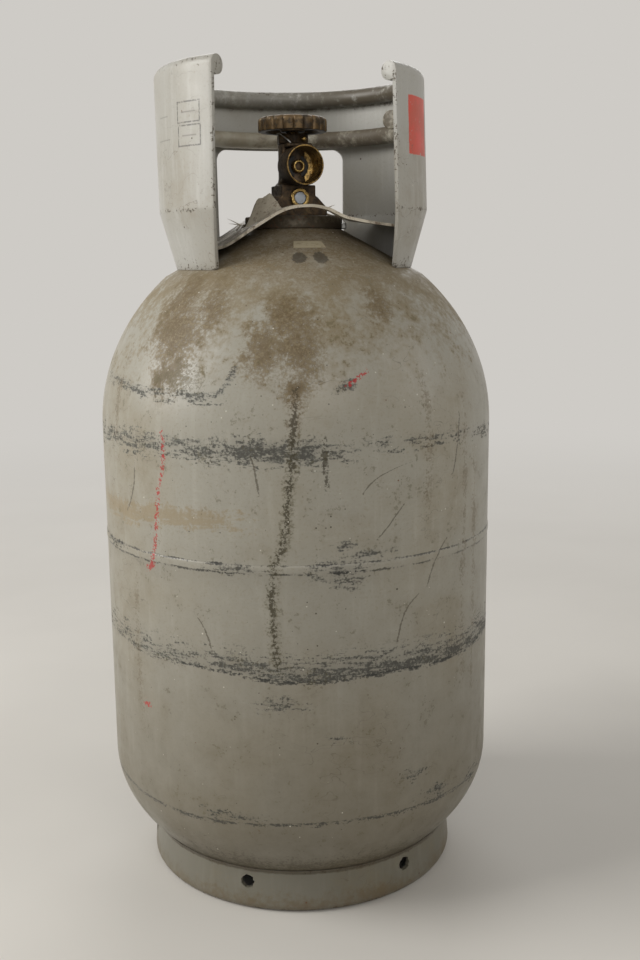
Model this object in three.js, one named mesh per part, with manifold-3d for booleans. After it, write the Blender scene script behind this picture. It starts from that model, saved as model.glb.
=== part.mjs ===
// Gas cylinder: a welded steel vessel on a foot ring, with a sheet guard round a brass hand-wheel valve.
// Millimetres, +Z up. The origin is on the floor at the middle of the foot ring.
// The guard opens towards -Y. An angle round the axis is counted from -Y towards +X.

import * as THREE from "three";
import { mergeVertices } from "three/addons/utils/BufferGeometryUtils.js";
import { ParametricGeometry } from "three/addons/geometries/ParametricGeometry.js";
import Module from "manifold-3d";

// Fits and facets
const GAP = 0.3;
const ROUND = 44;
const SMALL_ROUND = 20;
const FINE_ROUND = 72;
const MERGE_DISTANCE = 1e-4;
const OVERRUN = 1;

// Vessel
const BODY_R = 150;
const SHELL_WALL = 2.6;
const SEAM_Z = 271;
const SEAM_BEAD_WIDTH = 6;
const SEAM_BEAD_PROUD = 0.5;
const SEAM_LIP_HEIGHT = 14;
const SEAM_LIP_ROOT = 8;
const SHOULDER_Z = 354;
const SHOULDER_RISE = 110.4;
const SHOULDER_SWEEP = Math.PI / 4;
const CREASE_R = 98;
const CROWN_SLOPE = 0.55;
const KNUCKLE_Z = 95;
const KNUCKLE_SWEEP = 0.478;
const DISH_Z = 9;
const DISH_FLAT_R = 93;

// Foot ring
const FOOT_R = 121.8;
const FOOT_TAPER = 1.9;
const FOOT_HEIGHT = 31.2;
const FOOT_WALL = 3;
const FOOT_CURL_R = 6;
const FOOT_LIP = 4;
const FOOT_WELD_REACH = 1.3;
const DRAIN_COUNT = 6;
const DRAIN_R = 5;
const DRAIN_Z = 22.4;
const DRAIN_TURN = THREE.MathUtils.degToRad(3);

// Neck ring
const NECK_R = 37;
const NECK_RISE = 43.6;
const NECK_SPIGOT_R = 30;
const NECK_DEPTH = 22;
const NECK_CHAMFER = 1.5;

// Guard, with heights over the crown's crease
const SHEET = 3;
const GUARD_BASE_R = 89.3;
const GUARD_CREASE_R = 101;
const GUARD_CREASE_RISE = 47.1;
const GUARD_TOP_R = 98.3;
const GUARD_HEIGHT = 146.6;
const ROLL_R = 6.5;
const OPENING = { left: 40, right: 40 };
const OPENING_LOW = { left: 46, right: 49.5 };
const WINDOW_HALF_WIDTH = 52;
const WINDOW_LOW = 23.6;
const WINDOW_HIGH = 100.6;
const WINDOW_CORNER_R = 9;
const ROD_R = 6.5;
const ROD_RISE = 107.9;
const ROD_OPENING = { left: 48, right: 43 };
const BULGE = 4;
const BULGE_ANGLE = THREE.MathUtils.degToRad(-100);
const LIFT = 3;
const LIFT_ANGLE = THREE.MathUtils.degToRad(-45);

// Guard floor: a bent plate, higher in the middle than at the walls
const FLOOR_SHEET = 2;
const FLOOR_FRONT_Y = 56;
const FLOOR_BACK_Y = 60;
const FLOOR_HOLE_CLEARANCE = 4.5;
const FLOOR_TILT = 0.05;
const FLOOR_FOLD = 2.5;
const FLOOR_ARCH = [
  [-96, 19.6], [-60, 21.6], [-37, 34.6], [-14, 47.6], [4, 50.6],
  [18, 48.6], [33, 42.1], [69, 36.1], [96, 33.6],
];
const FLAP_LEAN = 8;
const FLAP_EDGE = [[-65, 0.0], [-60, 0.6], [-55, 0.85], [-37, 1.0], [-25, 0.5], [-19, 0.0]];
const FLAP_TOP = 59.6;

// Torn slivers of the floor: each point as [degrees, distance outside the hole, rise over the plate]
const SLIVER_ROOT = [-98, 2.5, 0];
const SLIVER_ELBOW = [-98, -1.6, 2.3];
const SLIVER_TIPS = [[-97, 9.2, 13.1], [-97, 7.8, 8.6]];
const SPIKE_ROOT = [27, 1.5, 0];
const SPIKE_TIP = [37, 2.4, 4.6];
const SLIVER_R = 1.5;
const SLIVER_TIP_R = 0.2;

// Valve, with heights over the neck ring
const OUTLET_TURN = THREE.MathUtils.degToRad(13);
const STEM_R = 13;
const STEM_LOW_Z = -20;
const INLET_R = 4;
const BASE_R = 25.5;
const BASE_SHOULDER_Z = 6.5;
const BASE_TOP_R = 18;
const BASE_TOP_Z = 15;
const BASE_FLAT = 12.5;
const BLOCK_WIDTH = 27;
const BLOCK_LOW_Z = 5;
const BLOCK_HIGH_Z = 23;
const COLUMN_R = 11;
const COLUMN_OVER_OUTLET = 1.9;
const COLUMN_BORE_R = 6.2;
const SEAT_Z = 26;
const OUTLET_Z = 36.5;
const OUTLET_R = 14.6;
const OUTLET_REACH = 27.5;
const SOCKET_R = 12.4;
const SOCKET_FLOOR = 9;
const NOZZLE_R = 4.9;
const NOZZLE_BORE_R = 3;
const NOZZLE_REACH = 5;
const OUTLET_SEAL_R = 8.5;
const OUTLET_SEAL_THICK = 1.4;
const RELIEF_Z = 19.5;
const RELIEF_R = 8.3;
const RELIEF_REACH = 23;
const RELIEF_BORE_R = 5.5;
const RELIEF_SEAT = 9;
const RELIEF_PORT_R = 2.2;

// Spindle, gland and plug
const SPINDLE_R = 4.4;
const SPINDLE_CLEARANCE = 0.3;
const SPINDLE_COLLAR_DEPTH = 7;
const SPINDLE_COLLAR_HEIGHT = 3;
const TANG_WIDTH = 7;
const TANG_THICK = 2.4;
const TANG_LENGTH = 8;
const GLAND_HEIGHT = 3.2;
const BONNET_FLATS = 22;
const BONNET_HEIGHT = 6.7;
const PLUG_ROOM = 5;
const SEAT_DISC_THICK = 3;
const SEAT_DISC_R = 5;
const PLUG_SLOT_UNDER_TANG = 5.5;

// Handwheel
const WHEEL_R = 26;
const WHEEL_OVER_BONNET = 2;
const WHEEL_THICK = 10.5;
const WHEEL_LOBES = 20;
const WHEEL_GROOVE = 1.5;
const WHEEL_POINTS_PER_LOBE = 4;
const WHEEL_ROUND = 3.5;
const WHEEL_RIM_INNER_R = 20.5;
const WHEEL_HUB_R = 9;
const WHEEL_UNDERCUT = 3;
const WHEEL_DISH = 5;
const WASHER_R = 7;
const WASHER_THICK = 1;
const NUT_FLATS = 11;
const NUT_HEIGHT = 4.5;
const SPINDLE_TIP_R = 2.9;
const SPINDLE_TIP_PROUD = 1;

// Bleed screw
const BLEED_UNDER_OUTLET = 1.4;
const BLEED_RING_R = 7.1;
const BLEED_RING_BORE_R = 4.7;
const BLEED_RING_LENGTH = 3;
const BLEED_NOTCHES = 3;
const BLEED_NOTCH_WIDTH = 2.6;
const BLEED_NOTCH_DEPTH = 1.6;
const BLEED_NOTCH_TURN = 40;
const BLEED_HEAD_R = 4.3;
const BLEED_SHANK_R = 2.6;
const BLEED_HOLE_DEPTH = 7;
const BLEED_SEAL_THICK = 1.2;
const BLEED_SLOT_WIDTH = 1;
const BLEED_SLOT_DEPTH = 0.8;
const BLEED_SLOT_TURN = 60;

// Relief valve inside its boss
const POPPET_THICK = 3;
const POPPET_STEM_R = 2;
const POPPET_STEM_LENGTH = 3.5;
const SPRING_WIRE_R = 0.5;
const SPRING_R = 3.8;
const SPRING_TURNS = 4;
const SPRING_STEPS_PER_TURN = 12;
const SPRING_ARC_STEPS = 3;
const RELIEF_CAP_LENGTH = 4;
const RELIEF_CAP_HOLE_R = 2.6;

// Finishes
const greyPaint = new THREE.MeshStandardMaterial({ color: 0x9b9a90, roughness: 0.55, metalness: 0.1 });
const paleGreyPaint = new THREE.MeshStandardMaterial({ color: 0xa9aaa6, roughness: 0.5, metalness: 0.1 });
const bareSteel = new THREE.MeshStandardMaterial({ color: 0x6b655c, roughness: 0.6, metalness: 0.7 });
const darkBrass = new THREE.MeshStandardMaterial({ color: 0x4a3a28, roughness: 0.5, metalness: 0.8 });
const brightBrass = new THREE.MeshStandardMaterial({ color: 0xb08a3e, roughness: 0.3, metalness: 0.9 });
const blackRubber = new THREE.MeshStandardMaterial({ color: 0x1c1b1a, roughness: 0.8, metalness: 0 });
const springSteel = new THREE.MeshStandardMaterial({ color: 0x8d8f92, roughness: 0.35, metalness: 0.9 });
const palePlastic = new THREE.MeshStandardMaterial({ color: 0xc3cbd6, roughness: 0.5, metalness: 0 });

const wasm = await Module();
wasm.setup();

// A closed three.js geometry as a solid that can be joined and cut
function solidOf(geometry) {
  geometry.deleteAttribute("normal");
  geometry.deleteAttribute("uv");
  const merged = mergeVertices(geometry, MERGE_DISTANCE);
  return new wasm.Manifold(
    new wasm.Mesh({
      numProp: 3,
      vertProperties: new Float32Array(merged.attributes.position.array),
      triVerts: new Uint32Array(merged.index.array),
    }),
  );
}

function geometryOf(solid) {
  const mesh = solid.getMesh();
  const geometry = new THREE.BufferGeometry();
  geometry.setAttribute("position", new THREE.BufferAttribute(mesh.vertProperties, 3));
  geometry.setIndex(new THREE.BufferAttribute(mesh.triVerts, 1));
  geometry.computeVertexNormals();
  return geometry;
}

function piece(name, solid, material, bend = (geometry) => geometry) {
  const mesh = new THREE.Mesh(bend(geometryOf(solid)), material);
  mesh.name = name;
  return mesh;
}

// A section of [radius, height] points, counter-clockwise, turned round the Z axis
function revolve(section, segments = ROUND) {
  const loop = [...section, section[0]].map(([r, z]) => new THREE.Vector2(r, z));
  return solidOf(new THREE.LatheGeometry(loop, segments).rotateX(Math.PI / 2));
}

// A round tube or rod along Z
function ring(outerR, innerR, lowZ, highZ, segments = SMALL_ROUND) {
  const section = [[innerR, lowZ], [outerR, lowZ], [outerR, highZ], [innerR, highZ]];
  return revolve(section, segments);
}

const rod = (r, lowZ, highZ, segments = SMALL_ROUND) => ring(r, 0, lowZ, highZ, segments);

// Turns a piece built along +Z so that it points along -Y, out of the valve, at the height given
const outward = (solid, z) => solid.rotate([90, 0, 0]).translate([0, 0, z]);
const inward = (solid, z) => solid.rotate([-90, 0, 0]).translate([0, 0, z]);

function box(lowCorner, highCorner) {
  const size = highCorner.map((high, i) => high - lowCorner[i]);
  const middle = highCorner.map((high, i) => (high + lowCorner[i]) / 2);
  return solidOf(new THREE.BoxGeometry(...size).translate(...middle));
}

function hexPrism(flats, lowZ, highZ) {
  const cornerR = flats / 2 / Math.cos(Math.PI / 6);
  const prism = new THREE.CylinderGeometry(cornerR, cornerR, highZ - lowZ, 6).rotateX(Math.PI / 2);
  return solidOf(prism.translate(0, 0, (lowZ + highZ) / 2));
}

// A straight-line reading of a list of [input, output] pairs
function readTable(table, input) {
  const last = table.length - 1;
  if (input <= table[0][0]) return table[0][1];
  if (input >= table[last][0]) return table[last][1];
  const next = table.findIndex(([start]) => start > input);
  const [x0, y0] = table[next - 1];
  const [x1, y1] = table[next];
  return y0 + ((y1 - y0) * (input - x0)) / (x1 - x0);
}

const ellipsePoints = (centre, radii, from, to, steps) =>
  new THREE.EllipseCurve(...centre, ...radii, from, to, to < from)
    .getPoints(steps)
    .map(({ x, y }) => [x, y]);

const creaseZ = SHOULDER_Z + SHOULDER_RISE;
const neckTopZ = creaseZ + NECK_RISE;

// The crown is a cone: its rise over the crease at a radius, and its height over the floor
const crownRise = (r) => (CREASE_R - r) * CROWN_SLOPE;
const crownZ = (r) => creaseZ + crownRise(r);

// Vessel
const bodyInnerR = BODY_R - SHELL_WALL;
const seamTopZ = SEAM_Z + SEAM_BEAD_WIDTH / 2;
const seamLowZ = SEAM_Z - SEAM_BEAD_WIDTH / 2;
const footTopR = FOOT_R - FOOT_TAPER;
const footSeatR = footTopR - FOOT_WALL;
const footSeatZ = FOOT_HEIGHT - OVERRUN + GAP;

function shellArc(edgeR, startZ, endZ, sweep, wall, steps) {
  const a = (BODY_R - edgeR) / (1 - Math.cos(sweep));
  const b = (endZ - startZ) / Math.sin(sweep);
  const radii = [a - wall, Math.abs(b) - wall];
  return ellipsePoints([BODY_R - a, startZ], radii, 0, Math.sign(b) * sweep, steps);
}

function dishPoints(from, wall) {
  const start = new THREE.Vector2(...from);
  const flat = new THREE.Vector2(DISH_FLAT_R - wall / 2, DISH_Z + wall);
  const middle = new THREE.Vector2(0, DISH_Z + wall);
  return new THREE.QuadraticBezierCurve(start, flat, middle).getPoints(4).map(({ x, y }) => [x, y]);
}

function lowerShell() {
  const knuckle = (wall) => shellArc(footSeatR, KNUCKLE_Z, footSeatZ, KNUCKLE_SWEEP, wall, 5);
  const outerKnuckle = knuckle(0);
  const innerKnuckle = knuckle(SHELL_WALL);
  const outerDish = dishPoints(outerKnuckle.at(-1), 0);
  const innerDish = dishPoints(innerKnuckle.at(-1), SHELL_WALL);
  const lipR = bodyInnerR - GAP;
  const seam = [
    [BODY_R, seamLowZ],
    [BODY_R + SEAM_BEAD_PROUD, SEAM_Z],
    [BODY_R, seamTopZ],
    [lipR, seamTopZ],
    [lipR, SEAM_Z + SEAM_LIP_HEIGHT],
    [lipR - SHELL_WALL, SEAM_Z + SEAM_LIP_HEIGHT],
    [lipR - SHELL_WALL, SEAM_Z],
    [bodyInnerR, SEAM_Z - SEAM_LIP_ROOT],
  ];
  const outside = [...outerDish.slice(1).reverse(), ...outerKnuckle.slice().reverse()];
  const inside = [...innerKnuckle, ...innerDish.slice(1)];
  return revolve([...outside, ...seam, ...inside]);
}

const neckHoleR = NECK_SPIGOT_R + GAP;

function upperShell() {
  const shoulder = (wall) => shellArc(CREASE_R, SHOULDER_Z, creaseZ, SHOULDER_SWEEP, wall, 8);
  const startZ = seamTopZ + GAP;
  const holeZ = crownZ(neckHoleR);
  const crownWall = SHELL_WALL * Math.hypot(1, CROWN_SLOPE);
  return revolve([
    [BODY_R, startZ],
    ...shoulder(0),
    [neckHoleR, holeZ],
    [neckHoleR, holeZ - crownWall],
    ...shoulder(SHELL_WALL).reverse(),
    [bodyInnerR, startZ],
  ]);
}

// Height of the vessel's outside at a radius on its lower knuckle
function knuckleZ(r) {
  const share = (1 - Math.cos(KNUCKLE_SWEEP)) / (BODY_R - footSeatR);
  const angle = Math.acos(1 - (BODY_R - r) * share);
  return KNUCKLE_Z - ((KNUCKLE_Z - footSeatZ) * Math.sin(angle)) / Math.sin(KNUCKLE_SWEEP);
}

// The ring turns in under itself to a flat lip, and a weld fillet fills the corner under the vessel
function footRing() {
  const curlR = FOOT_R - FOOT_CURL_R;
  const innerCurl = FOOT_CURL_R - FOOT_WALL;
  const curl = (radius, from, to) => ellipsePoints([curlR, FOOT_CURL_R], [radius, radius], from, to, 3);
  const wall = revolve([
    [curlR - FOOT_LIP, 0],
    ...curl(FOOT_CURL_R, -Math.PI / 2, 0),
    [footTopR, FOOT_HEIGHT],
    [footTopR + FOOT_WELD_REACH, knuckleZ(footTopR + FOOT_WELD_REACH) - 2 * GAP],
    [footSeatR, footSeatZ - 2 * GAP],
    ...curl(innerCurl, 0, -Math.PI / 2),
    [curlR - FOOT_LIP, FOOT_WALL],
  ]);
  const drill = outward(rod(DRAIN_R, footTopR - 3 * FOOT_WALL, FOOT_R + OVERRUN, 16), DRAIN_Z);
  let drilled = wall;
  for (let i = 0; i < DRAIN_COUNT; i++) {
    const turn = DRAIN_TURN + ((i - 0.5) * 2 * Math.PI) / DRAIN_COUNT;
    drilled = drilled.subtract(drill.rotate([0, 0, THREE.MathUtils.radToDeg(turn)]));
  }
  return drilled;
}

const stemBoreR = STEM_R + GAP;

function neckRing() {
  const lowZ = neckTopZ - NECK_DEPTH;
  return revolve([
    [stemBoreR, lowZ],
    [NECK_SPIGOT_R, lowZ],
    [NECK_SPIGOT_R, crownZ(NECK_SPIGOT_R) + 2 * GAP],
    [NECK_R, crownZ(NECK_R) + 2 * GAP],
    [NECK_R, neckTopZ - NECK_CHAMFER],
    [NECK_R - NECK_CHAMFER, neckTopZ],
    [stemBoreR, neckTopZ],
  ]);
}

// Guard
const rollCentreR = GUARD_TOP_R - ROLL_R;
const rollCentreZ = GUARD_HEIGHT - ROLL_R;

function wallOuterR(z) {
  const baseZ = crownRise(GUARD_BASE_R);
  const outline = [[baseZ, GUARD_BASE_R], [GUARD_CREASE_RISE, GUARD_CREASE_R], [rollCentreZ, GUARD_TOP_R]];
  return readTable(outline, z);
}

// The front opening, as a wedge with an angle on each side that may widen towards its lower end
function frontWedge(lowZ, highZ, lowAngles, highAngles) {
  const reach = 1.5 * GUARD_CREASE_R;
  const triangle = new THREE.Shape([
    new THREE.Vector2(0, 0),
    new THREE.Vector2(-reach, -reach),
    new THREE.Vector2(reach, -reach),
  ]);
  const wedge = new THREE.ExtrudeGeometry(triangle, { depth: highZ - lowZ, bevelEnabled: false });
  wedge.translate(0, 0, lowZ);
  const position = wedge.attributes.position;
  for (let i = 0; i < position.count; i++) {
    const share = (position.getZ(i) - lowZ) / (highZ - lowZ);
    const side = position.getX(i) < 0 ? "left" : "right";
    const degrees = THREE.MathUtils.lerp(lowAngles[side], highAngles[side], share);
    position.setX(i, Math.sign(position.getX(i)) * reach * Math.tan(THREE.MathUtils.degToRad(degrees)));
  }
  return solidOf(wedge);
}

const frontOpening = frontWedge(GUARD_CREASE_RISE, GUARD_HEIGHT + OVERRUN, OPENING, OPENING).add(
  frontWedge(0, GUARD_CREASE_RISE, OPENING_LOW, OPENING),
);

function handWindow() {
  const half = WINDOW_HALF_WIDTH - WINDOW_CORNER_R;
  const low = WINDOW_LOW + WINDOW_CORNER_R;
  const high = WINDOW_HIGH - WINDOW_CORNER_R;
  const outline = new THREE.Shape();
  outline.absarc(half, low, WINDOW_CORNER_R, -Math.PI / 2, 0);
  outline.absarc(half, high, WINDOW_CORNER_R, 0, Math.PI / 2);
  outline.absarc(-half, high, WINDOW_CORNER_R, Math.PI / 2, Math.PI);
  outline.absarc(-half, low, WINDOW_CORNER_R, Math.PI, 1.5 * Math.PI);
  const cutter = new THREE.ExtrudeGeometry(outline, {
    depth: GUARD_CREASE_R + OVERRUN,
    bevelEnabled: false,
    curveSegments: 5,
  });
  return solidOf(cutter.rotateX(Math.PI / 2).rotateZ(Math.PI));
}

function guardWall() {
  const innerAtRoll = GUARD_TOP_R - SHEET;
  const meet = -Math.acos((innerAtRoll - rollCentreR) / ROLL_R);
  const roll = ellipsePoints([rollCentreR, rollCentreZ], [ROLL_R, ROLL_R], 0, 2 * Math.PI + meet, 11);
  const innerBaseR = GUARD_BASE_R - SHEET;
  const wall = revolve([
    [innerBaseR, crownRise(innerBaseR) + 2 * GAP],
    [GUARD_BASE_R, crownRise(GUARD_BASE_R) + 2 * GAP],
    [GUARD_CREASE_R, GUARD_CREASE_RISE],
    ...roll,
    [GUARD_CREASE_R - SHEET, GUARD_CREASE_RISE],
  ]);
  return wall.subtract(frontOpening).subtract(handWindow());
}

function guardRod() {
  const centreR = wallOuterR(ROD_RISE) - SHEET - GAP - ROD_R;
  const section = ellipsePoints([centreR, ROD_RISE], [ROD_R, ROD_R], 0, 2 * Math.PI, 10).slice(0, -1);
  const ends = frontWedge(ROD_RISE - 2 * ROD_R, ROD_RISE + 2 * ROD_R, ROD_OPENING, ROD_OPENING);
  return revolve(section).subtract(ends);
}

// Knocks over the guard's crease: its left side bulges out, and its left front corner stands higher
function knocked(geometry) {
  const position = geometry.attributes.position;
  for (let i = 0; i < position.count; i++) {
    const x = position.getX(i);
    const y = position.getY(i);
    const z = position.getZ(i);
    const share = Math.max(0, (z - GUARD_CREASE_RISE) / (GUARD_HEIGHT - GUARD_CREASE_RISE));
    const near = (angle) => Math.max(0, Math.cos(Math.atan2(x, -y) - angle)) ** 2;
    const stretch = 1 + (BULGE * share * near(BULGE_ANGLE)) / Math.hypot(x, y);
    position.setXYZ(i, x * stretch, y * stretch, z + LIFT * share * near(LIFT_ANGLE));
  }
  geometry.computeVertexNormals();
  return geometry;
}

// Guard floor: the middle line of the sheet from the torn hole to its outer edge, at one angle
const floorHoleR = NECK_R + FLOOR_HOLE_CLEARANCE;
const floorArch = new THREE.SplineCurve(FLOOR_ARCH.map(([x, z]) => new THREE.Vector2(x, z)));
const archPoints = floorArch.getPoints(80).map(({ x, y }) => [x, y]);
const floorZ = (x, y) => readTable(archPoints, x) + FLOOR_TILT * (y + FLOOR_FRONT_Y);
const floorZAt = (r, angle) => floorZ(r * Math.sin(angle), -r * Math.cos(angle));

function floorEdgeR(angle) {
  let wallR = GUARD_BASE_R;
  for (let pass = 0; pass < 4; pass++) {
    const undersideZ = floorZAt(wallR, angle) - FLOOR_SHEET;
    wallR = wallOuterR(undersideZ) - SHEET - 2 * GAP;
  }
  const across = Math.cos(angle);
  const cutR = across > 0 ? FLOOR_FRONT_Y / across : -FLOOR_BACK_Y / across;
  return Math.min(wallR, cutR);
}

function floorLine(angle) {
  const holeZ = floorZAt(floorHoleR, angle);
  const edgeR = floorEdgeR(angle);
  const degrees = THREE.MathUtils.radToDeg(Math.atan2(Math.sin(angle), Math.cos(angle)));
  const raised = readTable(FLAP_EDGE, degrees);
  const tipR = THREE.MathUtils.lerp(floorHoleR, floorHoleR - FLAP_LEAN, raised);
  const tipZ = THREE.MathUtils.lerp(holeZ, FLAP_TOP, raised);
  const foldR = floorHoleR + FLOOR_FOLD;
  const line = [[tipR, tipZ], [foldR, floorZAt(foldR, angle)]];
  for (const share of [0.35, 0.7, 1]) {
    const r = THREE.MathUtils.lerp(foldR, edgeR, share);
    line.push([r, floorZAt(r, angle)]);
  }
  return line;
}

// The sheet's closed section at one angle: along the top of the line, then back along its underside
function floorSection(angle) {
  const line = floorLine(angle);
  const top = [];
  const under = [];
  line.forEach(([r, z], i) => {
    const [r0, z0] = line[Math.max(i - 1, 0)];
    const [r1, z1] = line[Math.min(i + 1, line.length - 1)];
    const length = Math.hypot(r1 - r0, z1 - z0);
    const offset = FLOOR_SHEET / 2 / length;
    top.push([r - (z1 - z0) * offset, z + (r1 - r0) * offset]);
    under.unshift([r + (z1 - z0) * offset, z - (r1 - r0) * offset]);
  });
  return [...top, ...under, top[0]];
}

// A thin sliver of the plate, tapered between two points
function sliver(from, to, fromR, toR) {
  const [start, end] = [from, to].map(([degrees, over, rise]) => {
    const angle = THREE.MathUtils.degToRad(degrees);
    const r = floorHoleR + over;
    return new THREE.Vector3(r * Math.sin(angle), -r * Math.cos(angle), floorZAt(r, angle) + rise);
  });
  const along = end.clone().sub(start);
  const spike = new THREE.CylinderGeometry(toR, fromR, along.length(), 5);
  spike.translate(0, along.length() / 2, 0);
  const up = new THREE.Vector3(0, 1, 0);
  spike.applyQuaternion(new THREE.Quaternion().setFromUnitVectors(up, along.normalize()));
  return solidOf(spike.translate(...start));
}

function guardFloor() {
  const sides = floorSection(0).length - 1;
  const sheet = new ParametricGeometry(
    (u, v, target) => {
      const angle = 2 * Math.PI * (v % 1);
      const [r, z] = floorSection(angle)[Math.round(u * sides)];
      target.set(r * Math.sin(angle), -r * Math.cos(angle), z);
    },
    sides,
    FINE_ROUND,
  );
  const torn = [
    sliver(SLIVER_ROOT, SLIVER_ELBOW, SLIVER_R, SLIVER_R),
    ...SLIVER_TIPS.map((tip) => sliver(SLIVER_ELBOW, tip, SLIVER_R, SLIVER_TIP_R)),
    sliver(SPIKE_ROOT, SPIKE_TIP, SLIVER_R, SLIVER_TIP_R),
  ];
  return torn.reduce((whole, part) => whole.add(part), solidOf(sheet));
}

// Valve, built with its outlet towards -Y and turned by its group
const blockFront = BASE_FLAT;
const columnTopZ = OUTLET_Z + OUTLET_R + COLUMN_OVER_OUTLET;
const bleedZ = OUTLET_Z - OUTLET_R - BLEED_UNDER_OUTLET - BLEED_RING_R;

function valveBody() {
  const stem = rod(STEM_R, STEM_LOW_Z, GAP + OVERRUN);
  const base = revolve(
    [
      [0, GAP],
      [BASE_R, GAP],
      [BASE_R, BASE_SHOULDER_Z],
      [BASE_TOP_R, BASE_TOP_Z],
      [0, BASE_TOP_Z],
    ],
    SMALL_ROUND,
  );
  const flats = box([-BASE_R, -BASE_FLAT, STEM_LOW_Z], [BASE_R, BASE_FLAT, BASE_TOP_Z + OVERRUN]);
  const block = box(
    [-BLOCK_WIDTH / 2, -BASE_FLAT, BLOCK_LOW_Z],
    [BLOCK_WIDTH / 2, BASE_FLAT, BLOCK_HIGH_Z],
  );
  const column = rod(COLUMN_R, BLOCK_HIGH_Z - OVERRUN, columnTopZ);
  const outlet = outward(rod(OUTLET_R, 0, OUTLET_REACH), OUTLET_Z);
  const relief = inward(rod(RELIEF_R, 0, RELIEF_REACH), RELIEF_Z);
  const inlet = rod(INLET_R, STEM_LOW_Z - OVERRUN, SEAT_Z + OVERRUN, 16);
  const columnBore = rod(COLUMN_BORE_R, SEAT_Z, columnTopZ + OVERRUN);
  const socket = outward(rod(SOCKET_R, SOCKET_FLOOR, OUTLET_REACH + OVERRUN), OUTLET_Z);
  const outletPort = outward(rod(NOZZLE_BORE_R, 0, SOCKET_FLOOR + OVERRUN, 16), OUTLET_Z);
  const reliefBore = inward(rod(RELIEF_BORE_R, RELIEF_SEAT, RELIEF_REACH + OVERRUN), RELIEF_Z);
  const reliefPort = inward(rod(RELIEF_PORT_R, 0, RELIEF_SEAT + OVERRUN, 12), RELIEF_Z);
  const bleedHole = outward(
    rod(BLEED_SHANK_R + GAP, blockFront - BLEED_HOLE_DEPTH, blockFront + OVERRUN, 16),
    bleedZ,
  );
  return stem
    .add(base.intersect(flats))
    .add(block)
    .add(column)
    .add(outlet)
    .add(relief)
    .subtract(inlet)
    .subtract(columnBore)
    .subtract(socket)
    .subtract(outletPort)
    .subtract(reliefBore)
    .subtract(reliefPort)
    .subtract(bleedHole);
}

function outletNozzle() {
  const low = SOCKET_FLOOR + GAP;
  return outward(ring(NOZZLE_R, NOZZLE_BORE_R, low, low + NOZZLE_REACH), OUTLET_Z);
}

function outletSeal() {
  const low = SOCKET_FLOOR + GAP;
  return outward(ring(OUTLET_SEAL_R, NOZZLE_R + GAP, low, low + OUTLET_SEAL_THICK), OUTLET_Z);
}

// Spindle and the pieces round it
const collarLowZ = columnTopZ - SPINDLE_COLLAR_DEPTH;
const tangLowZ = collarLowZ - TANG_LENGTH;
const glandLowZ = collarLowZ + SPINDLE_COLLAR_HEIGHT + GAP;
const spindleBoreR = SPINDLE_R + SPINDLE_CLEARANCE;
const boreFitR = COLUMN_BORE_R - GAP;
const bonnetLowZ = columnTopZ + GAP;
const bonnetTopZ = bonnetLowZ + BONNET_HEIGHT;
const wheelLowZ = bonnetTopZ + WHEEL_OVER_BONNET;
const wheelHighZ = wheelLowZ + WHEEL_THICK;
const wheelSeatZ = wheelHighZ - WHEEL_DISH;
const washerLowZ = wheelSeatZ + GAP;
const nutLowZ = washerLowZ + WASHER_THICK + GAP;
const nutTopZ = nutLowZ + NUT_HEIGHT;

function spindle() {
  const shaft = revolve(
    [
      [0, collarLowZ],
      [boreFitR, collarLowZ],
      [boreFitR, collarLowZ + SPINDLE_COLLAR_HEIGHT],
      [SPINDLE_R, collarLowZ + SPINDLE_COLLAR_HEIGHT],
      [SPINDLE_R, wheelSeatZ - GAP],
      [SPINDLE_TIP_R, wheelSeatZ - GAP],
      [SPINDLE_TIP_R, nutTopZ + SPINDLE_TIP_PROUD],
      [0, nutTopZ + SPINDLE_TIP_PROUD],
    ],
    SMALL_ROUND,
  );
  const tang = box(
    [-TANG_WIDTH / 2, -TANG_THICK / 2, tangLowZ],
    [TANG_WIDTH / 2, TANG_THICK / 2, collarLowZ + OVERRUN],
  );
  return shaft.add(tang);
}

const glandSeal = () => ring(boreFitR, spindleBoreR, glandLowZ, glandLowZ + GLAND_HEIGHT);

const bonnetNut = () =>
  hexPrism(BONNET_FLATS, bonnetLowZ, bonnetTopZ).subtract(
    rod(spindleBoreR, bonnetLowZ - OVERRUN, bonnetTopZ + OVERRUN),
  );

const seatDiscLowZ = SEAT_Z + GAP;
const plugLowZ = seatDiscLowZ + SEAT_DISC_THICK + GAP;
const plugTopZ = collarLowZ - PLUG_ROOM;
const plugSlotFloorZ = tangLowZ - PLUG_SLOT_UNDER_TANG;

const seatDisc = () => rod(SEAT_DISC_R, seatDiscLowZ, seatDiscLowZ + SEAT_DISC_THICK);

// The tang of the spindle turns the plug's slot, so the slot is open on both sides
function liftingPlug() {
  const slotHalf = TANG_THICK / 2 + GAP;
  const slot = box(
    [-COLUMN_R, -slotHalf, plugSlotFloorZ],
    [COLUMN_R, slotHalf, plugTopZ + OVERRUN],
  );
  return rod(boreFitR, plugLowZ, plugTopZ).subtract(slot);
}

// Handwheel with lobes, a rounded top edge, a recess under the rim and a dish on top for its nut
function lobedOutline() {
  const count = WHEEL_LOBES * WHEEL_POINTS_PER_LOBE;
  const points = [];
  for (let i = 0; i < count; i++) {
    const angle = (2 * Math.PI * i) / count;
    const wave = Math.abs(Math.sin((WHEEL_LOBES * angle) / 2));
    const r = WHEEL_R - WHEEL_ROUND - WHEEL_GROOVE * (1 - Math.sqrt(wave));
    points.push(new THREE.Vector2(r * Math.cos(angle), r * Math.sin(angle)));
  }
  return new THREE.Shape(points);
}

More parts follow.
